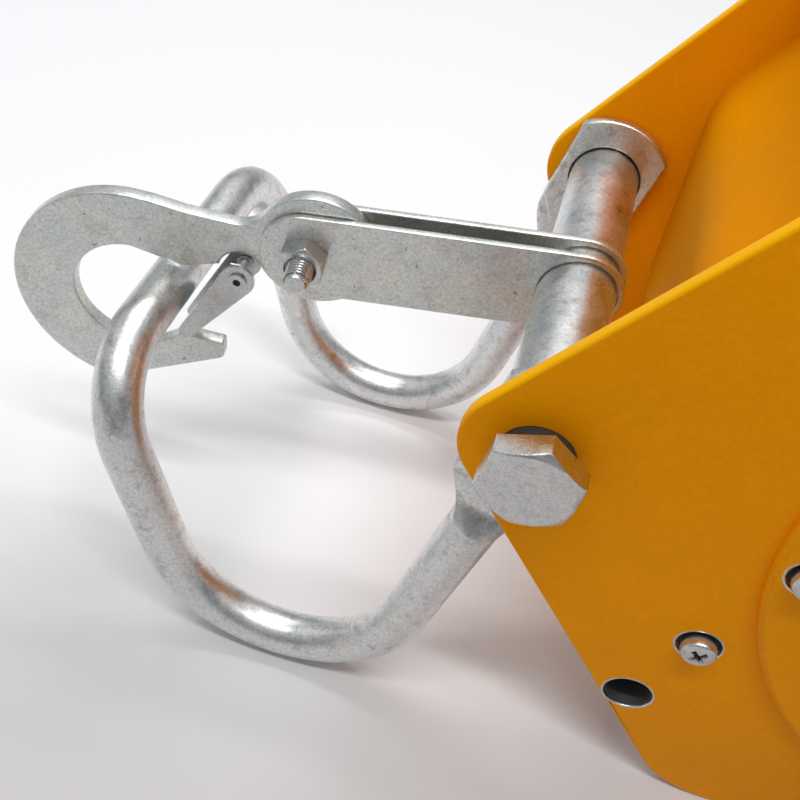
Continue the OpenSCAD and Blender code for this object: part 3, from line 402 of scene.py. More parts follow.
def thread_rows(radius, pitch, start, end, count=96):
    """Rows of a screw thread: the radius less a triangle wave of depth 0.55 pitch, one turn for each pitch."""
    q = np.linspace(0, 1, count, endpoint=False)
    depth = column(np.arange(start, end, pitch / 8))
    wave = np.abs(np.mod(depth / pitch - q, 1) * 2 - 1)
    return radius - 0.55 * pitch * wave, depth + 0 * q


def stack_rows(*rows):
    """Rows of radius and depth, one group after another."""
    count = max(np.asarray(radius).shape[-1] for radius, _ in rows)
    wide = np.zeros(count)
    return np.concatenate([r + wide for r, _ in rows]), np.concatenate([d + wide for _, d in rows])


def ring_rows(*pairs):
    """Plain round rows from pairs of radius and depth."""
    return column([radius for radius, _ in pairs]), column([depth for _, depth in pairs])


def swept(path, side, wide, thick, power, count=40):
    """A rod along a path: at each point a superellipse, wide along side and thick across it, with its power."""
    ahead = np.gradient(path, axis=0)
    ahead /= np.linalg.norm(ahead, axis=1, keepdims=True)
    across = np.cross(ahead, side)
    q = np.linspace(0, 2 * math.pi, count, endpoint=False)
    u, v = np.cos(q), np.sin(q)
    share = 2 / power[:, None]
    u = np.sign(u) * np.abs(u) ** share * wide[:, None]
    v = np.sign(v) * np.abs(v) ** share * thick[:, None]
    points = path[:, None] + u[..., None] * side[:, None] + v[..., None] * across[:, None]
    rows = len(path)
    ends = [list(range(count)), list(range((rows - 1) * count, rows * count))]
    return points.reshape(-1, 3), grid_faces(rows, count) + ends


def piece(name, surface, kind, body, node=None, sharp=38.0, painted_light=None):
    """One mesh object in metres: doubles merged, faces outwards, smooth but for edges steeper than sharp. Painted
    light gives each point's share of the finish's painted-light colour, from 0 to 1: a painted highlight or painted
    shade."""
    points, faces = surface
    mesh = bpy.data.meshes.new(name)
    mesh.from_pydata(((points + ANCHOR) * MM).tolist(), [], faces)
    # Each point's share of painted highlight or painted shade is kept as a mesh attribute.
    if painted_light is not None:
        mesh.attributes.new("painted_light", "FLOAT", "POINT").data.foreach_set("value", np.ravel(painted_light).astype(np.float32))
    work = bmesh.new()
    work.from_mesh(mesh)
    bmesh.ops.remove_doubles(work, verts=work.verts, dist=2e-7)
    bmesh.ops.recalc_face_normals(work, faces=work.faces)
    work.to_mesh(mesh)
    work.free()
    mesh.materials.append(kind)
    mesh.shade_smooth()
    mesh.set_sharp_from_angle(angle=math.radians(sharp))
    shown = bpy.data.objects.new(name, mesh)
    bpy.context.scene.collection.objects.link(shown)
    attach(shown, body)
    if node:
        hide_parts(node)
    return shown


def span(node, axis=1):
    """A node's lowest and highest place on one axis, in millimetres from the anchor bolt."""
    low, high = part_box(node)
    return low[axis] / MM - ANCHOR[axis], high[axis] / MM - ANCHOR[axis]


# Shaders


def link_all(tree, *pairs):
    """Joins output and input sockets pair by pair."""
    for out, into in pairs:
        tree.links.new(out, into)


def maths(tree, operation, second=None):
    """A math node, with its second number where that is fixed."""
    node = tree.nodes.new("ShaderNodeMath")
    node.operation = operation
    if second is not None:
        node.inputs[1].default_value = second
    return node


def map_range(tree, start, end, low=0.0, high=1.0, kind="LINEAR"):
    """A node that carries start to low and end to high."""
    node = tree.nodes.new("ShaderNodeMapRange")
    node.interpolation_type = kind
    for label, value in (("From Min", start), ("From Max", end), ("To Min", low), ("To Max", high)):
        node.inputs[label].default_value = value
    return node


def colour_mix(tree, a=None, b=None):
    """A colour mix node, with those of its two colours that are fixed."""
    node = tree.nodes.new("ShaderNodeMix")
    node.data_type = "RGBA"
    for label, tint in (("A", a), ("B", b)):
        if tint is not None:
            node.inputs[label].default_value = (*tint, 1)
    return node


def speckle_group():
    """Node group on object coordinates, each output from 0 to 1: a soft cloud, a fine grain, rubbed marks
    and small pits."""
    name = "winch_speckle"
    if name in bpy.data.node_groups:
        return bpy.data.node_groups[name]
    tree = bpy.data.node_groups.new(name, "ShaderNodeTree")
    for label, value in (("Cloud size", 40.0), ("Grain size", 900.0), ("Pit size", 500.0)):
        socket = tree.interface.new_socket(label, in_out="INPUT", socket_type="NodeSocketFloat")
        socket.default_value = value
    for label in ("Cloud", "Grain", "Marks", "Pits"):
        tree.interface.new_socket(label, in_out="OUTPUT", socket_type="NodeSocketFloat")
    given = tree.nodes.new("NodeGroupInput")
    result = tree.nodes.new("NodeGroupOutput")
    place = tree.nodes.new("ShaderNodeTexCoord")
    for label, size, times, detail, low, high in (
        ("Cloud", "Cloud size", 1.0, 5.0, 0.3, 0.7), ("Grain", "Grain size", 1.0, 2.0, 0.0, 1.0),
        ("Marks", "Cloud size", 2.3, 9.0, 0.52, 0.70), ("Pits", "Pit size", 1.0, 3.0, 0.66, 0.74),
    ):
        noise = tree.nodes.new("ShaderNodeTexNoise")
        noise.inputs["Detail"].default_value = detail
        noise.inputs["Roughness"].default_value = 0.6
        scale = maths(tree, "MULTIPLY", times)
        sharpen = map_range(tree, low, high)
        link_all(
            tree, (place.outputs["Object"], noise.inputs["Vector"]), (given.outputs[size], scale.inputs[0]),
            (scale.outputs[0], noise.inputs["Scale"]), (noise.outputs["Fac"], sharpen.inputs["Value"]),
            (sharpen.outputs["Result"], result.inputs[label]),
        )
    return tree


def finish(name, base, other, metallic, rough, bump, cloud=40.0, grain=900.0, marks=0.0, pits=0.0, pit_size=500.0,
           gloss=0.5, sheen=(1.0, 1.0, 1.0), fleck=0.0, painted_light_colour=None):
    """A material: colour and roughness drift with the cloud, marks show the other colour, pits darken, the points'
    painted-light share shows the painted-light colour, a painted highlight or painted shade, and the grain flecks the
    colour and lifts the surface."""
    if name in bpy.data.materials:
        return bpy.data.materials[name]
    material = bpy.data.materials.new(name)
    material.use_nodes = True
    tree = material.node_tree
    shader = tree.nodes["Principled BSDF"]
    shader.inputs["Metallic"].default_value = metallic
    shader.inputs["Specular IOR Level"].default_value = gloss
    shader.inputs["Specular Tint"].default_value = (*sheen, 1)
    speckle = tree.nodes.new("ShaderNodeGroup")
    speckle.node_tree = speckle_group()
    for label, value in (("Cloud size", cloud), ("Grain size", grain), ("Pit size", pit_size)):
        speckle.inputs[label].default_value = value
    cool, light = (
        [min(1.0, c * t) for c, t in zip(base, tint)] for tint in ((0.90, 0.93, 0.97), (1.06, 1.04, 1.0))
    )
    tone = colour_mix(tree, cool, light)
    stain = colour_mix(tree, b=other)
    speck = colour_mix(tree, b=[0.25 * c for c in other])
    grainy = colour_mix(tree)
    grainy.blend_type = "MULTIPLY"
    grainy.inputs["Factor"].default_value = 1.0
    # Painted light: each point's share mixes in the given colour, or by default a dark painted shade.
    rubbed = colour_mix(tree, b=painted_light_colour or [0.12 * c for c in other])
    painted_light = tree.nodes.new("ShaderNodeAttribute")
    painted_light.attribute_name = "painted_light"
    flecks = map_range(tree, 0.32, 0.68, 1.0 - fleck, 1.0 + 0.6 * fleck)
    mark_share, pit_share = (maths(tree, "MULTIPLY", share) for share in (marks, pits))
    dull = map_range(tree, 0.0, 1.0, *rough)
    relief = tree.nodes.new("ShaderNodeBump")
    relief.inputs["Strength"].default_value = bump
    relief.inputs["Distance"].default_value = 0.0004
    link_all(
        tree,
        (speckle.outputs["Cloud"], tone.inputs["Factor"]),
        (tone.outputs["Result"], stain.inputs["A"]),
        (speckle.outputs["Marks"], mark_share.inputs[0]),
        (mark_share.outputs[0], stain.inputs["Factor"]),
        (stain.outputs["Result"], speck.inputs["A"]),
        (speckle.outputs["Pits"], pit_share.inputs[0]),
        (pit_share.outputs[0], speck.inputs["Factor"]),
        (speck.outputs["Result"], grainy.inputs["A"]),
        (speckle.outputs["Grain"], flecks.inputs["Value"]),
        (flecks.outputs["Result"], grainy.inputs["B"]),
        (grainy.outputs["Result"], rubbed.inputs["A"]),
        (painted_light.outputs["Fac"], rubbed.inputs["Factor"]),
        (rubbed.outputs["Result"], shader.inputs["Base Color"]),
        (speckle.outputs["Cloud"], dull.inputs["Value"]),
        (dull.outputs["Result"], shader.inputs["Roughness"]),
        (speckle.outputs["Grain"], relief.inputs["Height"]),
        (relief.outputs["Normal"], shader.inputs["Normal"]),
    )
    return material


def paint():
    """Satin yellow powder coat with a faint orange peel, with a painted highlight of lighter yellow on the upper
    edges.
    """
    # The lighter yellow below is the painted highlight on the plates' upper edges.
    return finish(
        "powder_coat", tuple(props().finish.paint), (0.5, 0.2, 0.0), 0.0, (0.36, 0.5), 0.08, 12, 700,
        gloss=0.08, sheen=(1.0, 0.6, 0.1), fleck=0.04, painted_light_colour=(0.95, 0.46, 0.002),
    )


def shaded_wall_paint():
    """The same coat on the cross wall, darkened to 0.82 of its colour as painted shade, and duller."""
    # Painted shade: the yellow is darkened to 0.82.
    return finish(
        "wall_coat_painted_shade", tuple(0.82 * c for c in props().finish.paint), (0.5, 0.2, 0.0), 0.0, (0.42, 0.56), 0.08, 12, 700,
        gloss=0.02, sheen=(1.0, 0.6, 0.1), fleck=0.04,
    )


def rod_zinc():
    """Satin zinc on drawn rod and tube, finely flecked, with brownish rubbed streaks."""
    tints = props().finish
    return finish(
        "rod_zinc", tuple(1.12 * c for c in tints.zinc), tuple(tints.scuff), 1.0, (0.27, 0.42), 0.12, 110, 1300,
        marks=0.45, pits=0.5, pit_size=900, fleck=0.19,
    )


def plate_zinc():
    """Zinc on stamped bars, flecked and pitted."""
    tints = props().finish
    base = tuple(c * w for c, w in zip(tints.zinc, (1.085, 1.105, 1.07)))
    return finish(
        "plate_zinc", base, tuple(tints.scuff), 1.0, (0.32, 0.44), 0.10, 70, 1100,
        marks=0.26, pits=0.7, pit_size=480, fleck=0.19,
    )


def bright_zinc():
    """Bright zinc on bolts, nuts and screws."""
    tints = props().finish
    return finish(
        "bright_zinc", tuple(tints.zinc), tuple(tints.scuff), 1.0, (0.22, 0.36), 0.10, 150, 1500,
        marks=0.25, pits=0.3, pit_size=900, fleck=0.16,
    )


def finishes():
    """The winch's materials by the record's slot names."""
    tints = props().finish
    bush, dark, bronze, rubber = (tuple(tint) for tint in (tints.bush, tints.dark, tints.bronze, tints.rubber))
    return {
        "yellow_paint": paint(),
        "zinc_steel": rod_zinc(),
        "black_bush": finish("black_bush", bush, (0.02, 0.02, 0.02), 0.0, (0.5, 0.65), 0.1, gloss=0.2),
        "dark_steel": finish("oiled_steel", dark, (0.05, 0.045, 0.04), 1.0, (0.3, 0.5), 0.15, 50, 1800, 0.5, 0.3),
        "spring_steel": finish("spring_wire", (0.45, 0.45, 0.45), (0.2, 0.2, 0.2), 1.0, (0.22, 0.34), 0.05),
        "bronze": finish("turned_bronze", bronze, (0.2, 0.12, 0.05), 1.0, (0.3, 0.45), 0.1, 50, 1500, 0.3),
        "grip_rubber": finish("ribbed_rubber", rubber, (0.04, 0.04, 0.04), 0.0, (0.6, 0.75), 0.25, 60, 1600, 0.2),
    }


class WINCH_OT_finishes(bpy.types.Operator):
    """Gives every solid of the frame its procedural finish."""

    bl_idname = "winch.finishes"
    bl_label = "Finishes"

    def execute(self, context):
        kinds = finishes()
        for part in frame["record"]["subparts"]:
            mesh = frame["nodes"][part["node"]].data
            mesh.materials.clear()
            mesh.materials.append(kinds[part["material_slot"]])
        for node in ("latch", "latch_rivet"):
            frame["nodes"][node].data.materials[0] = bright_zinc()
        # The guard gets the darkened coat: painted shade.
        frame["nodes"]["drum_guard"].data.materials[0] = shaded_wall_paint()
        return {"FINISHED"}


# Pieces


def hole_places(size):
    """Places of the frame screws, the nose tubes and the cover screws in the plates."""
    slope = math.radians(size.slope)
    out, along = np.array((-math.sin(slope), math.cos(slope))), np.array((math.cos(slope), math.sin(slope)))
    tube = (size.nose_r - size.tube_edge) * out + size.tube_along * along
    both = np.array(((1.0, 1.0), (1.0, -1.0)))
    screws = np.concatenate((both * np.array(size.guard_screw), both * np.array(size.end_screw) + (DRUM[0], 0)))
    q = np.radians(size.cover_screw_turn + np.arange(8) * 45)
    covers = size.cover_screw_r * np.stack((np.cos(q), np.sin(q)), 1) + (DRUM[0], 0)
    return screws, both * tube, covers


class WINCH_OT_plates(bpy.types.Operator):
    """Two side plates with painted-over edges."""

    bl_idname = "winch.plates"
    bl_label = "Side plates"

    def execute(self, context):
        size = props().plates
        high = ANCHOR[2]
        slope = math.radians(size.slope)
        up = high - size.corner_r
        near = (size.corner_r - size.nose_r + math.cos(slope) * up) / math.sin(slope)
        far = span("front_plate", 0)[1] - size.end_r
        end = high - size.end_r
        outline = belt([
            ((0, 0), size.nose_r), ((near, -up), size.corner_r), ((far, -end), size.end_r),
            ((far, end), size.end_r), ((near, up), size.corner_r),
        ], 3.0)
        screws, tubes, covers = hole_places(size)
        holes = [hole((0, 0), size.bush_r), hole((DRUM[0], 0), size.cover_r - size.cover_seat, 3)]
        holes += [hole(p, size.screw_hole_r) for p in screws] + [hole(p, size.tube_hole_r) for p in tubes]
        holes += [hole(p, 2.5, 20) for p in covers]
        for node in ("front_plate", "rear_plate"):
            low, high = span(node)
            plate = sheet([outline, *holes], low, high, size.edge)
            y, z = plate[0][:, 1], plate[0][:, 2]
            # Painted highlight: the rounded edges in the upper half of each plate take the lighter yellow.
            painted_light = (np.minimum(y - low, high - y) > 0.02) * np.clip(z / 10, 0, 1)
            piece(f"{node}_painted", plate, paint(), "frame", node, painted_light=painted_light)
        return {"FINISHED"}


class WINCH_OT_rims(bpy.types.Operator):
    """Bare metal rims round the holes of plates and covers."""

    bl_idname = "winch.rims"
    bl_label = "Bare rims"

    def execute(self, context):
        size = props().plates
        screws, tubes, covers = hole_places(size)
        parts = []
        for node in ("front_plate", "rear_plate"):
            low, high = span(node)
            side, face = (1.0, low) if low < 0 else (-1.0, high)
            for places, radius, y in (
                (screws, size.screw_hole_r, face), (tubes, size.tube_hole_r, face),
                (covers, size.screw_hole_r, face - side * size.cover_t),
            ):
                rows = ring_rows(
                    (radius - 0.04, 0.9), (radius - 0.04, 0.25), (radius + 0.08, 0.02), (radius + 0.22, -0.08),
                    (radius + size.rim - 0.12, -0.08), (radius + size.rim, 0.05), (radius + size.rim, 0.3),
                )
                parts += [turned(p, rows[0], y + side * rows[1], closed=True, count=48) for p in places]
        piece("bare_rims", joined(parts), bright_zinc(), "frame")
        return {"FINISHED"}


class WINCH_OT_bore_shade(bpy.types.Operator):
    """Black sleeves inside the two nose tubes: painted shade that darkens their bores."""

    bl_idname = "winch.bores"
    bl_label = "Tube bore shade"

    def execute(self, context):
        size = props().plates
        low, high = span("front_plate")[0] + 0.6, span("rear_plate")[1] - 0.6
        outer, inner = size.tube_hole_r - 0.05, size.tube_hole_r - 0.7
        rows = ring_rows(
            (inner, low + 0.3), (inner + 0.2, low), (outer - 0.1, low), (outer, low + 0.1), (outer, high - 0.1),
            (outer - 0.1, high), (inner + 0.2, high), (inner, high - 0.3),
        )
        parts = [turned(p, *rows, closed=True, count=48) for p in hole_places(size)[1]]
        # Painted shade: black sleeves where the bores are only in shade.
        piece("tube_bore_shade", joined(parts), finishes()["black_bush"], "frame")
        return {"FINISHED"}


class WINCH_OT_bail(bpy.types.Operator):
    """The bail, mirrored across the winch: one rod swept along a straight arm, a bend near the floor, a straight
    rise, a corner and the cross bar. Its section goes from a flat superellipse to a circle with the distance from
    the bolt, and its two ends run into flat eyes."""

    bl_idname = "winch.bail"
    bl_label = "Bail"

    def execute(self, context):
        size = props().bail
        bar = np.array(size.bar)
        bend = np.array((-size.bend_x, size.rod_r + size.bend_r - ANCHOR[2]))
        top, low = touch((0, 0), bend, size.bend_r, 1), touch(bar, bend, size.bend_r, -1)
        arm, rise = top / np.linalg.norm(top), (bar - low) / np.linalg.norm(bar - low)
        reach = np.linalg.norm(top)
        start = size.bore_r + 0.6
        run = np.concatenate((np.linspace(start, 40, 34), np.linspace(43, reach - 2, 8)))
        curve = arc(bend, size.bend_r, bearing(top, bend), bearing(low, bend), 3.0)
        flat = np.concatenate((run[:, None] * arm, curve))
        path = np.stack((flat[:, 0], np.full(len(flat), -size.arm_y), flat[:, 1]), 1)
        rise_3d = np.array((rise[0], 0.0, rise[1]))
        corner = np.array((bar[0], -size.arm_y, bar[1])) - size.corner_r * rise_3d
        q = np.radians(np.linspace(0, 90, 20))[:, None]
        turn = corner + size.corner_r * (np.sin(q) * rise_3d + (1 - np.cos(q)) * ACROSS)
        middle = turn[-1] + np.linspace(0.15, 1.0, 8)[:, None] * ACROSS * -turn[-1][1]
        climb = path[-1] + np.linspace(0.15, 0.9, 6)[:, None] * (corner - path[-1])
        ahead = np.gradient(flat, axis=0)
        ahead /= np.linalg.norm(ahead, axis=1, keepdims=True)
        side = np.stack((-ahead[:, 1], np.zeros(len(flat)), ahead[:, 0]), 1)
        still = np.array((-rise[1], 0.0, rise[0]))
        half = np.concatenate((path, climb, turn, middle[:-1]))
        sides = np.concatenate((side, np.broadcast_to(still, (len(half) - len(side), 3))))
        narrow, thicken = np.ones(len(half)), np.ones(len(half))
        for part, (first, last) in ((narrow, size.taper), (thicken, size.facet)):
            part[: len(run)] = np.clip((run - first) / (last - first), 0, 1)
        narrow = narrow**2 * (3 - 2 * narrow)
        thick = (size.eye_high - size.eye_low) / 2
        half[:, 1] -= (1 - thicken) * ((size.eye_high + size.eye_low) / 2 - size.arm_y)
        mirror = np.array((1.0, -1.0, 1.0))
        path = np.concatenate((half, middle[-1:], (half * mirror)[::-1]))
        sides = np.concatenate((sides, still[None], sides[::-1]))
        narrow, thicken = (np.concatenate((part, [1.0], part[::-1])) for part in (narrow, thicken))
        wide = size.eye_w / 2 - 0.3 + narrow * (size.rod_r - size.eye_w / 2 + 0.3)
        deep = thick - 0.02 + thicken * (size.rod_r - thick + 0.02)
        rod = swept(path, sides, wide, deep, 5.0 - 3.0 * thicken)
        lean = bearing(arm, (0, 0))
        clip = math.degrees(math.asin(size.eye_w / 2 / size.eye_r))
        taper = size.bore_r + 2.5
        local = np.concatenate((
            ((taper + 10, -size.eye_w / 2 + 7), (taper + 10, size.eye_w / 2 - 7), (taper, size.eye_w / 2)),
            arc((0, 0), size.eye_r, 180 - clip, 180 + clip, 3.0),
            ((taper, -size.eye_w / 2),),
        ))
        c, s = math.cos(math.radians(lean)), math.sin(math.radians(lean))
        outline = local @ np.array(((c, s), (-s, c)))
        eyes = [
            sheet([outline, hole((0, 0), size.bore_r, 5)], low_y, high_y, 0.9, 0.5)
            for low_y, high_y in ((-size.eye_high, -size.eye_low), (size.eye_low, size.eye_high))
        ]
        # Painted shade: the rod is darkened where each eye thickens into it.
        step = np.clip(4 * thicken, 0, 1) * np.clip(4 * (1 - thicken), 0, 1)
        painted_light = np.concatenate((np.repeat(0.36 * step, 40), np.zeros(sum(len(points) for points, _ in eyes))))
        piece("bail_forged", joined([rod, *eyes]), rod_zinc(), "bail", "bail", painted_light=painted_light)
        return {"FINISHED"}


class WINCH_OT_link(bpy.types.Operator):
    """The two link bars."""

    bl_idname = "winch.link"
    bl_label = "Link bars"

    def execute(self, context):
        size = props().hook
        half = size.link_gap / 2
        for node, low in (("link_plate_front", -half - size.link_t), ("link_plate_rear", half)):
            tube = np.array(((low + size.link_t / 2) * -SKEW[0] / SKEW[1], 0.0))
            outline = belt([(tube, size.link_w / 2), (HOOK_PIN, size.link_w / 2)], 3.0)
            loops = [outline, hole(tube, props().bail.bore_r, 5), hole(HOOK_PIN, size.bolt_r)]
            bar = on_link(sheet(loops, low, low + size.link_t, 0.55))
            piece(f"{node}_stamped", bar, plate_zinc(), "link", node)
        return {"FINISHED"}


def hook_outline(size):
    """The hook's edge about its bolt, anticlockwise: head, hollow neck, shank, outer bowl, tip, inner bowl, lug."""
    head, out_c, in_c, lug = (np.array(p) for p in (size.head_c, size.out_c, size.in_c, LATCH_PIN - HOOK_PIN))
    rise = size.shank_h + size.neck_r - head[1]
    neck = head + (-math.sqrt((size.head_r + size.neck_r) ** 2 - rise**2), rise)
    bowl_top = crossing(size.bowl_rise, size.bowl_aim, out_c, size.out_r)
    slope = math.radians(size.tip_slope)
    along, below = np.array((math.cos(slope), math.sin(slope))), np.array((math.sin(slope), -math.cos(slope)))
    bottom = out_c + size.tip_line * below
    heel = bottom - math.sqrt(size.out_r**2 - size.tip_line**2) * along
    nib = np.array([tuple(p) for p in (size.nib_end, size.nib_mid, size.nib_root)])
    toe = bottom + (nib[0][0] - bottom[0]) / along[0] * along
    throat = crossing(nib[-1], in_c - (0, size.in_r), in_c, size.in_r)
    lug_top = crossing(size.mouth, size.lug_aim, lug, size.lug_r)
    gap = lug - head
    far = math.hypot(*gap)
    share = (size.head_r**2 - size.lug_r**2 + far**2) / (2 * far)
    meet = head + (share * gap + math.sqrt(size.head_r**2 - share**2) * np.array((-gap[1], gap[0]))) / far
    first = bearing(meet, head)
    last = bearing(neck, head)
    return np.concatenate((
        arc(head, size.head_r, first - 360 if first > last else first, last, 3.0),
        arc(neck, size.neck_r, bearing(head, neck), -90, 5.0)[1:],
        (tuple(size.shoulder), tuple(size.bowl_rise)),
        arc(out_c, size.out_r, bearing(bowl_top, out_c), bearing(heel, out_c) % 360, 2.5),
        rounded(toe, (heel, nib[0]), 2.0),
        rounded(nib[0], (toe, nib[1]), 1.2),
        nib[1:],
        arc(in_c, size.in_r, bearing(throat, in_c) % 360, 90.0, 4.0),
        (tuple(size.mouth),),
        arc(lug, size.lug_r, bearing(lug_top, lug) % 360, bearing(meet, lug) % 360, 8.0)[:-1],
    ))


class WINCH_OT_hook(bpy.types.Operator):
    """The stamped hook."""

    bl_idname = "winch.hook"
    bl_label = "Hook"

    def execute(self, context):
        size = props().hook
        loops = [hook_outline(size) + HOOK_PIN, hole(HOOK_PIN, size.bolt_r + 0.3), hole(LATCH_PIN, 2.2, 12)]
        flat = sheet(loops, -size.hook_t / 2, size.hook_t / 2, size.edge)
        piece("hook_stamped", on_link(flat), plate_zinc(), "hook", "hook")
        return {"FINISHED"}


class WINCH_OT_bolts(bpy.types.Operator):
    """Hexagon bolts and nuts with chamfered corners and threaded ends."""

    bl_idname = "winch.bolts"
    bl_label = "Bolts and nuts"

    def execute(self, context):
        size, hook = props().fasteners, props().hook
        kind = bright_zinc()
        low, high = span("anchor_bolt")
        radii, depths = hex_rows(size.anchor_flats, size.anchor_head)
        total = high - low
        start = total - size.anchor_threaded
        rows = stack_rows(
            ring_rows((0.0, 0.0)), (radii, depths),
            ring_rows((size.anchor_r, size.anchor_head), (size.anchor_r, start - 0.5)),
            thread_rows(size.anchor_r, size.anchor_thread, start, total - 2.0),
            ring_rows((size.anchor_r - 1.6, total), (0.0, total)),
        )
        head = turned((0, 0), rows[0], low + rows[1], math.radians(size.anchor_turn))
        piece("anchor_bolt_turned", head, kind, "frame", "anchor_bolt")
        for node, place, flats, bore, side, body in (
            ("anchor_nut", (0, 0), size.anchor_flats, size.anchor_r, -1.0, "frame"),
            ("axle_nut", DRUM[[0, 2]], size.axle_flats, size.axle_thread_r, 1.0, "drum"),
        ):
            piece(f"{node}_turned", nut_surface(place, flats, bore, *span(node), side), kind, body, node)
        face = hook.link_gap / 2 + hook.link_t
        nut = nut_surface(HOOK_PIN, hook.nut, hook.bolt_r, -face - hook.nut_h, -face, 1.0, hook.nut_turn)
        piece("hook_nut_turned", on_link(nut), kind, "link", "hook_nut")
        radii, depths = hex_rows(hook.nut, hook.nut_h)
        total = 2 * face + 2 * hook.nut_h + hook.bolt_out
        start = total - hook.threaded
        rows = stack_rows(
            ring_rows((0.0, 0.0)), (radii, depths),
            ring_rows((hook.bolt_r, hook.nut_h), (hook.bolt_r, start - 0.2)),
            thread_rows(hook.bolt_r - 0.03, hook.thread, start, total - 0.9),
            ring_rows(
                (hook.bolt_r - 0.75, total - 0.7), (hook.bolt_r - 1.2, total - 0.1), (hook.bolt_r - 1.9, total),
                (0.0, total),
            ),
        )
        bolt = turned(HOOK_PIN, rows[0], face + hook.nut_h - rows[1])
        # Painted shade: the thread's roots are darkened.
        threaded = (rows[1] > start) & (rows[1] < total - 0.8)
        thread_root_shade = np.clip((hook.bolt_r - 0.25 - rows[0]) / 0.3, 0, 1) * threaded
        piece("hook_bolt_turned", on_link(bolt), kind, "link", "hook_bolt", painted_light=0.8 * thread_root_shade)
        low, high = span("lever_bolts")
        radii, depths = hex_rows(size.lever_flats, size.lever_head)
        total = high - low
        rows = stack_rows(
            ring_rows((0.0, 0.0)), (radii, depths),
            ring_rows((size.lever_bolt_r, size.lever_head), (size.lever_bolt_r, total - size.lever_head)),
            (radii[::-1], total - depths[::-1]), ring_rows((0.0, total)),
        )
        parts = [turned((DRUM[0] + place, 0), rows[0], low + rows[1]) for place in size.lever_bolt_at]
        piece("lever_bolts_turned", joined(parts), kind, "lever", "lever_bolts")
        return {"FINISHED"}


def nut_surface(place, flats, bore, low, high, side, turn=0.0):
    """A nut between two places on Y: chamfered hexagon outside, countersunk bore inside; side 1 faces the front."""
    radii, depths = hex_rows(flats, high - low, both=True)
    tall = high - low
    rows = stack_rows(
        ring_rows((bore + 0.02, 0.9), (bore + 0.9, 0.0)), (radii, depths),
        ring_rows((bore + 0.5, tall), (bore + 0.02, tall - 0.4)),
    )
    depth = low + rows[1] if side > 0 else high - rows[1]
    return turned(place, rows[0], depth, math.radians(turn), closed=True)


def pan_screws(places, seat, side, size, reach, count=72):
    """Pan head screws, each with its painted shade: a low dome with rolled sides, cut by a cross whose walls slope
    over 0.25 mm and whose recess is darkened as painted shade, on a shank."""
    q = np.linspace(0, 2 * math.pi, count, endpoint=False)
    r = np.linspace(0, 0.8, 15)
    dome = column(-size.screw_head_h + 0.55 * (r / 0.8) ** 2)
    radius = column(r * size.screw_head_r)
    u = np.abs(radius * np.cos(q - math.pi / 4))
    v = np.abs(radius * np.sin(q - math.pi / 4))
    arms = [np.clip((0.75 - a) / 0.25, 0, 1) * np.clip((2.7 - b) / 0.5, 0, 1) for a, b in ((u, v), (v, u))]
    top = dome + 1.5 * np.maximum(*arms)
    roll = column(np.linspace(0, math.pi / 2, 5)[1:])
    rows = stack_rows(
        (radius + 0 * q, top),
        (size.screw_head_r * (0.8 + 0.2 * np.sin(roll)), -size.screw_head_h + 0.55 + 1.5 * (1 - np.cos(roll))),
        ring_rows(
            (size.screw_head_r, -0.15), (size.screw_head_r - 0.15, 0), (size.screw_r, 0), (size.screw_r, reach),
            (0, reach),
        ),
    )
    # Painted shade: the cross recess is darkened.
    painted_light = np.zeros(rows[0].shape)
    painted_light[: len(top)] = 0.85 * np.maximum(*arms)
    return [(turned(p, rows[0], seat - side * rows[1], count=count), painted_light) for p in places]


class WINCH_OT_screws(bpy.types.Operator):
    """Pan head screws of frame and covers."""

    bl_idname = "winch.screws"
    bl_label = "Screws"

    def execute(self, context):
        size = props().fasteners
        screws, _, covers = hole_places(props().plates)
        for node, places, reach in (("frame_screws", screws, 16.0), ("cover_screws", covers, 7.0)):
            low, high = span(node)
            parts = pan_screws(places, low + size.screw_head_h, -1.0, size, reach)
            parts += pan_screws(places, high - size.screw_head_h, 1.0, size, reach)
            # Each screw's painted shade of its cross recess.
            painted_light = np.stack([dark for _, dark in parts])
            piece(f"{node}_turned", joined([part for part, _ in parts]), bright_zinc(), "frame", node, painted_light=painted_light)
        return {"FINISHED"}


# Stage


def photo_axes(view):
    """The camera's right, up and back directions: turned left, tilted down, then rolled about Y with the winch."""
    turn, tilt, roll = (math.radians(a) for a in (view.turn, view.tilt, view.roll))
    right = np.array((math.cos(turn), math.sin(turn), 0.0))
    ahead = np.array((-math.sin(turn) * math.cos(tilt), math.cos(turn) * math.cos(tilt), -math.sin(tilt)))
    up = np.cross(right, ahead)
    lean = np.array(((math.cos(roll), 0, -math.sin(roll)), (0, 1, 0), (math.sin(roll), 0, math.cos(roll))))
    return [lean @ axis for axis in (right, up, -ahead)]


def tube_lamp(name, place, power):
    """A long lamp along the winch, in metres from the anchor bolt, that looks down at it; power is in watts."""
    lamp = bpy.data.lights.new(name, "AREA")
    lamp.shape = "RECTANGLE"
    lamp.size, lamp.size_y = 1.1, 0.08
    lamp.energy = power
    holder = bpy.data.objects.new(name, lamp)
    across = Vector((1, 0, 0))
    back = Vector(place).normalized()
    back = (back - back.dot(across) * across).normalized()
    turn = Matrix((across, back.cross(across), back)).transposed().to_4x4()
    holder.matrix_world = Matrix.Translation(Vector(ANCHOR * MM) + Vector(place)) @ turn
    bpy.context.scene.collection.objects.link(holder)


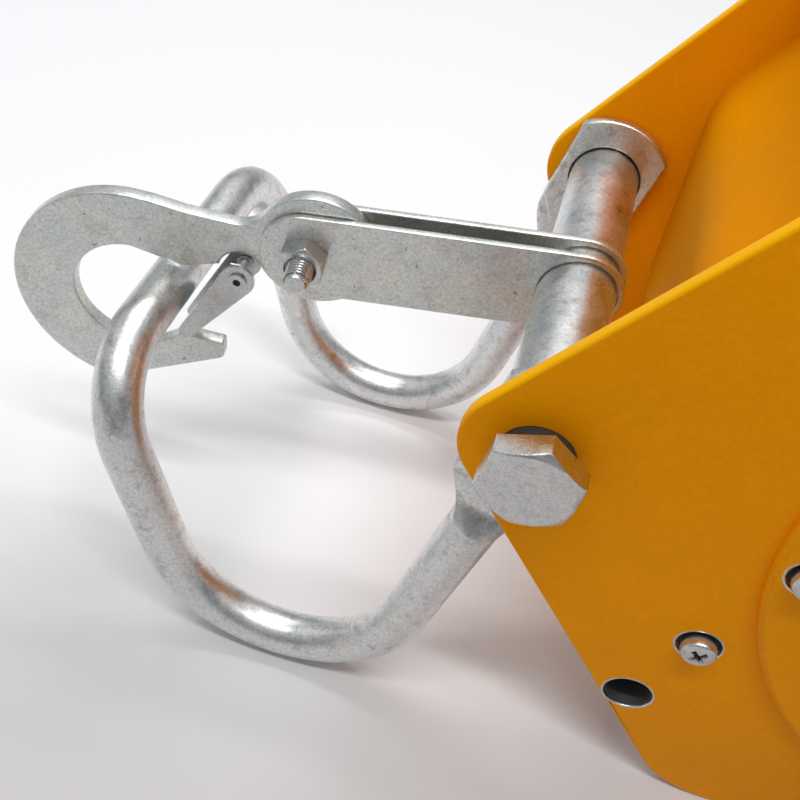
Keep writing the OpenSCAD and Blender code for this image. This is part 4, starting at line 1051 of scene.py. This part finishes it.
def studio_world(scene):
    """A room with a low pale screen all round, dark walls above it and a bright ceiling: strength follows the
    dot product with one direction, or near the horizon the height."""
    world = bpy.data.worlds.new("studio")
    world.use_nodes = True
    tree = world.node_tree
    place = tree.nodes.new("ShaderNodeTexCoord")
    dot = tree.nodes.new("ShaderNodeVectorMath")
    dot.operation = "DOT_PRODUCT"
    dot.inputs[1].default_value = Vector((-0.18, 0.16, 0.97)).normalized()
    ramp = map_range(tree, 0.0, 0.75, 0.10, 0.58)
    split = tree.nodes.new("ShaderNodeSeparateXYZ")
    height = maths(tree, "ABSOLUTE")
    screen = map_range(tree, 0.08, 0.24, 0.45, 0.0, "SMOOTHSTEP")
    most = maths(tree, "MAXIMUM")
    back = tree.nodes["Background"]
    back.inputs["Color"].default_value = (0.95, 0.97, 1.0, 1)
    link_all(
        tree, (place.outputs["Generated"], dot.inputs[0]), (dot.outputs["Value"], ramp.inputs["Value"]),
        (place.outputs["Generated"], split.inputs[0]), (split.outputs["Z"], height.inputs[0]),
        (height.outputs[0], screen.inputs["Value"]), (ramp.outputs["Result"], most.inputs[0]),
        (screen.outputs["Result"], most.inputs[1]), (most.outputs[0], back.inputs["Strength"]),
    )
    scene.world = world


def floor_paper():
    """Matt white paper with a painted shadow, greyer just before the winch: the mix follows the place across it. Far
    off, the camera
    and reflections see plain white: the share follows the distance from the winch."""
    pale = bpy.data.materials.new("floor_paper")
    pale.use_nodes = True
    tree = pale.node_tree
    shader = tree.nodes["Principled BSDF"]
    shader.inputs["Roughness"].default_value = 0.8
    shader.inputs["Specular IOR Level"].default_value = 0.15
    place = tree.nodes.new("ShaderNodeTexCoord")
    split = tree.nodes.new("ShaderNodeSeparateXYZ")
    # Painted shadow: the paper greys towards the front of the winch.
    painted_shadow_fade = map_range(tree, ANCHOR[1] * MM - 0.14, ANCHOR[1] * MM + 0.02, kind="SMOOTHSTEP")
    tone = colour_mix(tree, (0.60, 0.585, 0.585), (0.92, 0.92, 0.93))
    link_all(
        tree, (place.outputs["Object"], split.inputs[0]), (split.outputs["Y"], painted_shadow_fade.inputs["Value"]),
        (painted_shadow_fade.outputs["Result"], tone.inputs["Factor"]), (tone.outputs["Result"], shader.inputs["Base Color"]),
    )
    far = tree.nodes.new("ShaderNodeVectorMath")
    far.operation = "LENGTH"
    reach = map_range(tree, 0.6, 1.8, kind="SMOOTHSTEP")
    path = tree.nodes.new("ShaderNodeLightPath")
    seen = maths(tree, "MAXIMUM")
    share = maths(tree, "MULTIPLY")
    white = tree.nodes.new("ShaderNodeEmission")
    white.inputs["Color"].default_value = (0.93, 0.93, 0.94, 1)
    both = tree.nodes.new("ShaderNodeMixShader")
    link_all(
        tree, (place.outputs["Object"], far.inputs[0]), (far.outputs["Value"], reach.inputs["Value"]),
        (path.outputs["Is Camera Ray"], seen.inputs[0]), (path.outputs["Is Glossy Ray"], seen.inputs[1]),
        (reach.outputs["Result"], share.inputs[0]), (seen.outputs[0], share.inputs[1]),
        (share.outputs[0], both.inputs[0]), (shader.outputs[0], both.inputs[1]), (white.outputs[0], both.inputs[2]),
        (both.outputs[0], tree.nodes["Material Output"].inputs["Surface"]),
    )
    return pale


class WINCH_OT_stage(bpy.types.Operator):
    """Floor, soft lamps, pale surroundings and the photograph's camera."""

    bl_idname = "winch.stage"
    bl_label = "Stage"

    def execute(self, context):
        scene = context.scene
        view = props().view
        right, up, back = photo_axes(view)
        lens = bpy.data.cameras.new("photo_camera")
        lens.lens = view.lens
        lens.sensor_width = 36.0
        lens.clip_start = 0.01
        camera = bpy.data.objects.new("photo_camera", lens)
        place = (ANCHOR + np.array(view.place)) * MM
        camera.matrix_world = Matrix([[*axis, p] for *axis, p in zip(right, up, back, place)] + [[0, 0, 0, 1]])
        scene.collection.objects.link(camera)
        scene.camera = camera
        reach = 60.0
        floor = bpy.data.meshes.new("floor")
        floor.from_pydata(
            [(-reach, -reach, 0), (reach, -reach, 0), (reach, reach, 0), (-reach, reach, 0)], [], [(0, 1, 2, 3)]
        )
        ground = bpy.data.objects.new("floor", floor)
        floor.materials.append(floor_paper())
        scene.collection.objects.link(ground)
        studio_world(scene)
        tube_lamp("front_lamp", (0.0, -0.45, 1.35), 9.0)
        tube_lamp("back_lamp", (-0.1, 0.36, 1.4), 3.6)
        tube_lamp("far_lamp", (-0.2, 0.8, 1.3), 5.0)
        scene.view_settings.view_transform = "Standard"
        return {"FINISHED"}


class WINCH_PT_panel(bpy.types.Panel):
    """Lists the winch's makers in the sidebar."""

    bl_label = "Winch"
    bl_idname = "WINCH_PT_panel"
    bl_space_type = "VIEW_3D"
    bl_region_type = "UI"
    bl_category = "Winch"

    def draw(self, context):
        for maker in MAKERS:
            self.layout.operator(maker.bl_idname)


SETTINGS = (WinchPlates, WinchBail, WinchHook, WinchFasteners, WinchFinish, WinchCamera, WinchProps)
MAKERS = (
    WINCH_OT_finishes, WINCH_OT_plates, WINCH_OT_rims, WINCH_OT_bore_shade, WINCH_OT_bail, WINCH_OT_link,
    WINCH_OT_hook, WINCH_OT_bolts, WINCH_OT_screws, WINCH_OT_stage,
)
CLASSES = (*SETTINGS, *MAKERS, WINCH_PT_panel)


def register():
    """Makes the settings, operators and panel known to Blender."""
    for entry in CLASSES:
        bpy.utils.register_class(entry)
    bpy.types.Scene.winch = PointerProperty(type=WinchProps)


def unregister():
    """Takes them out again."""
    del bpy.types.Scene.winch
    for entry in reversed(CLASSES):
        bpy.utils.unregister_class(entry)


def main():
    """Registers the add-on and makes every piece."""
    register()
    for maker in MAKERS:
        group, name = maker.bl_idname.split(".")
        getattr(getattr(bpy.ops, group), name)()


if __name__ == "__main__":
    main()
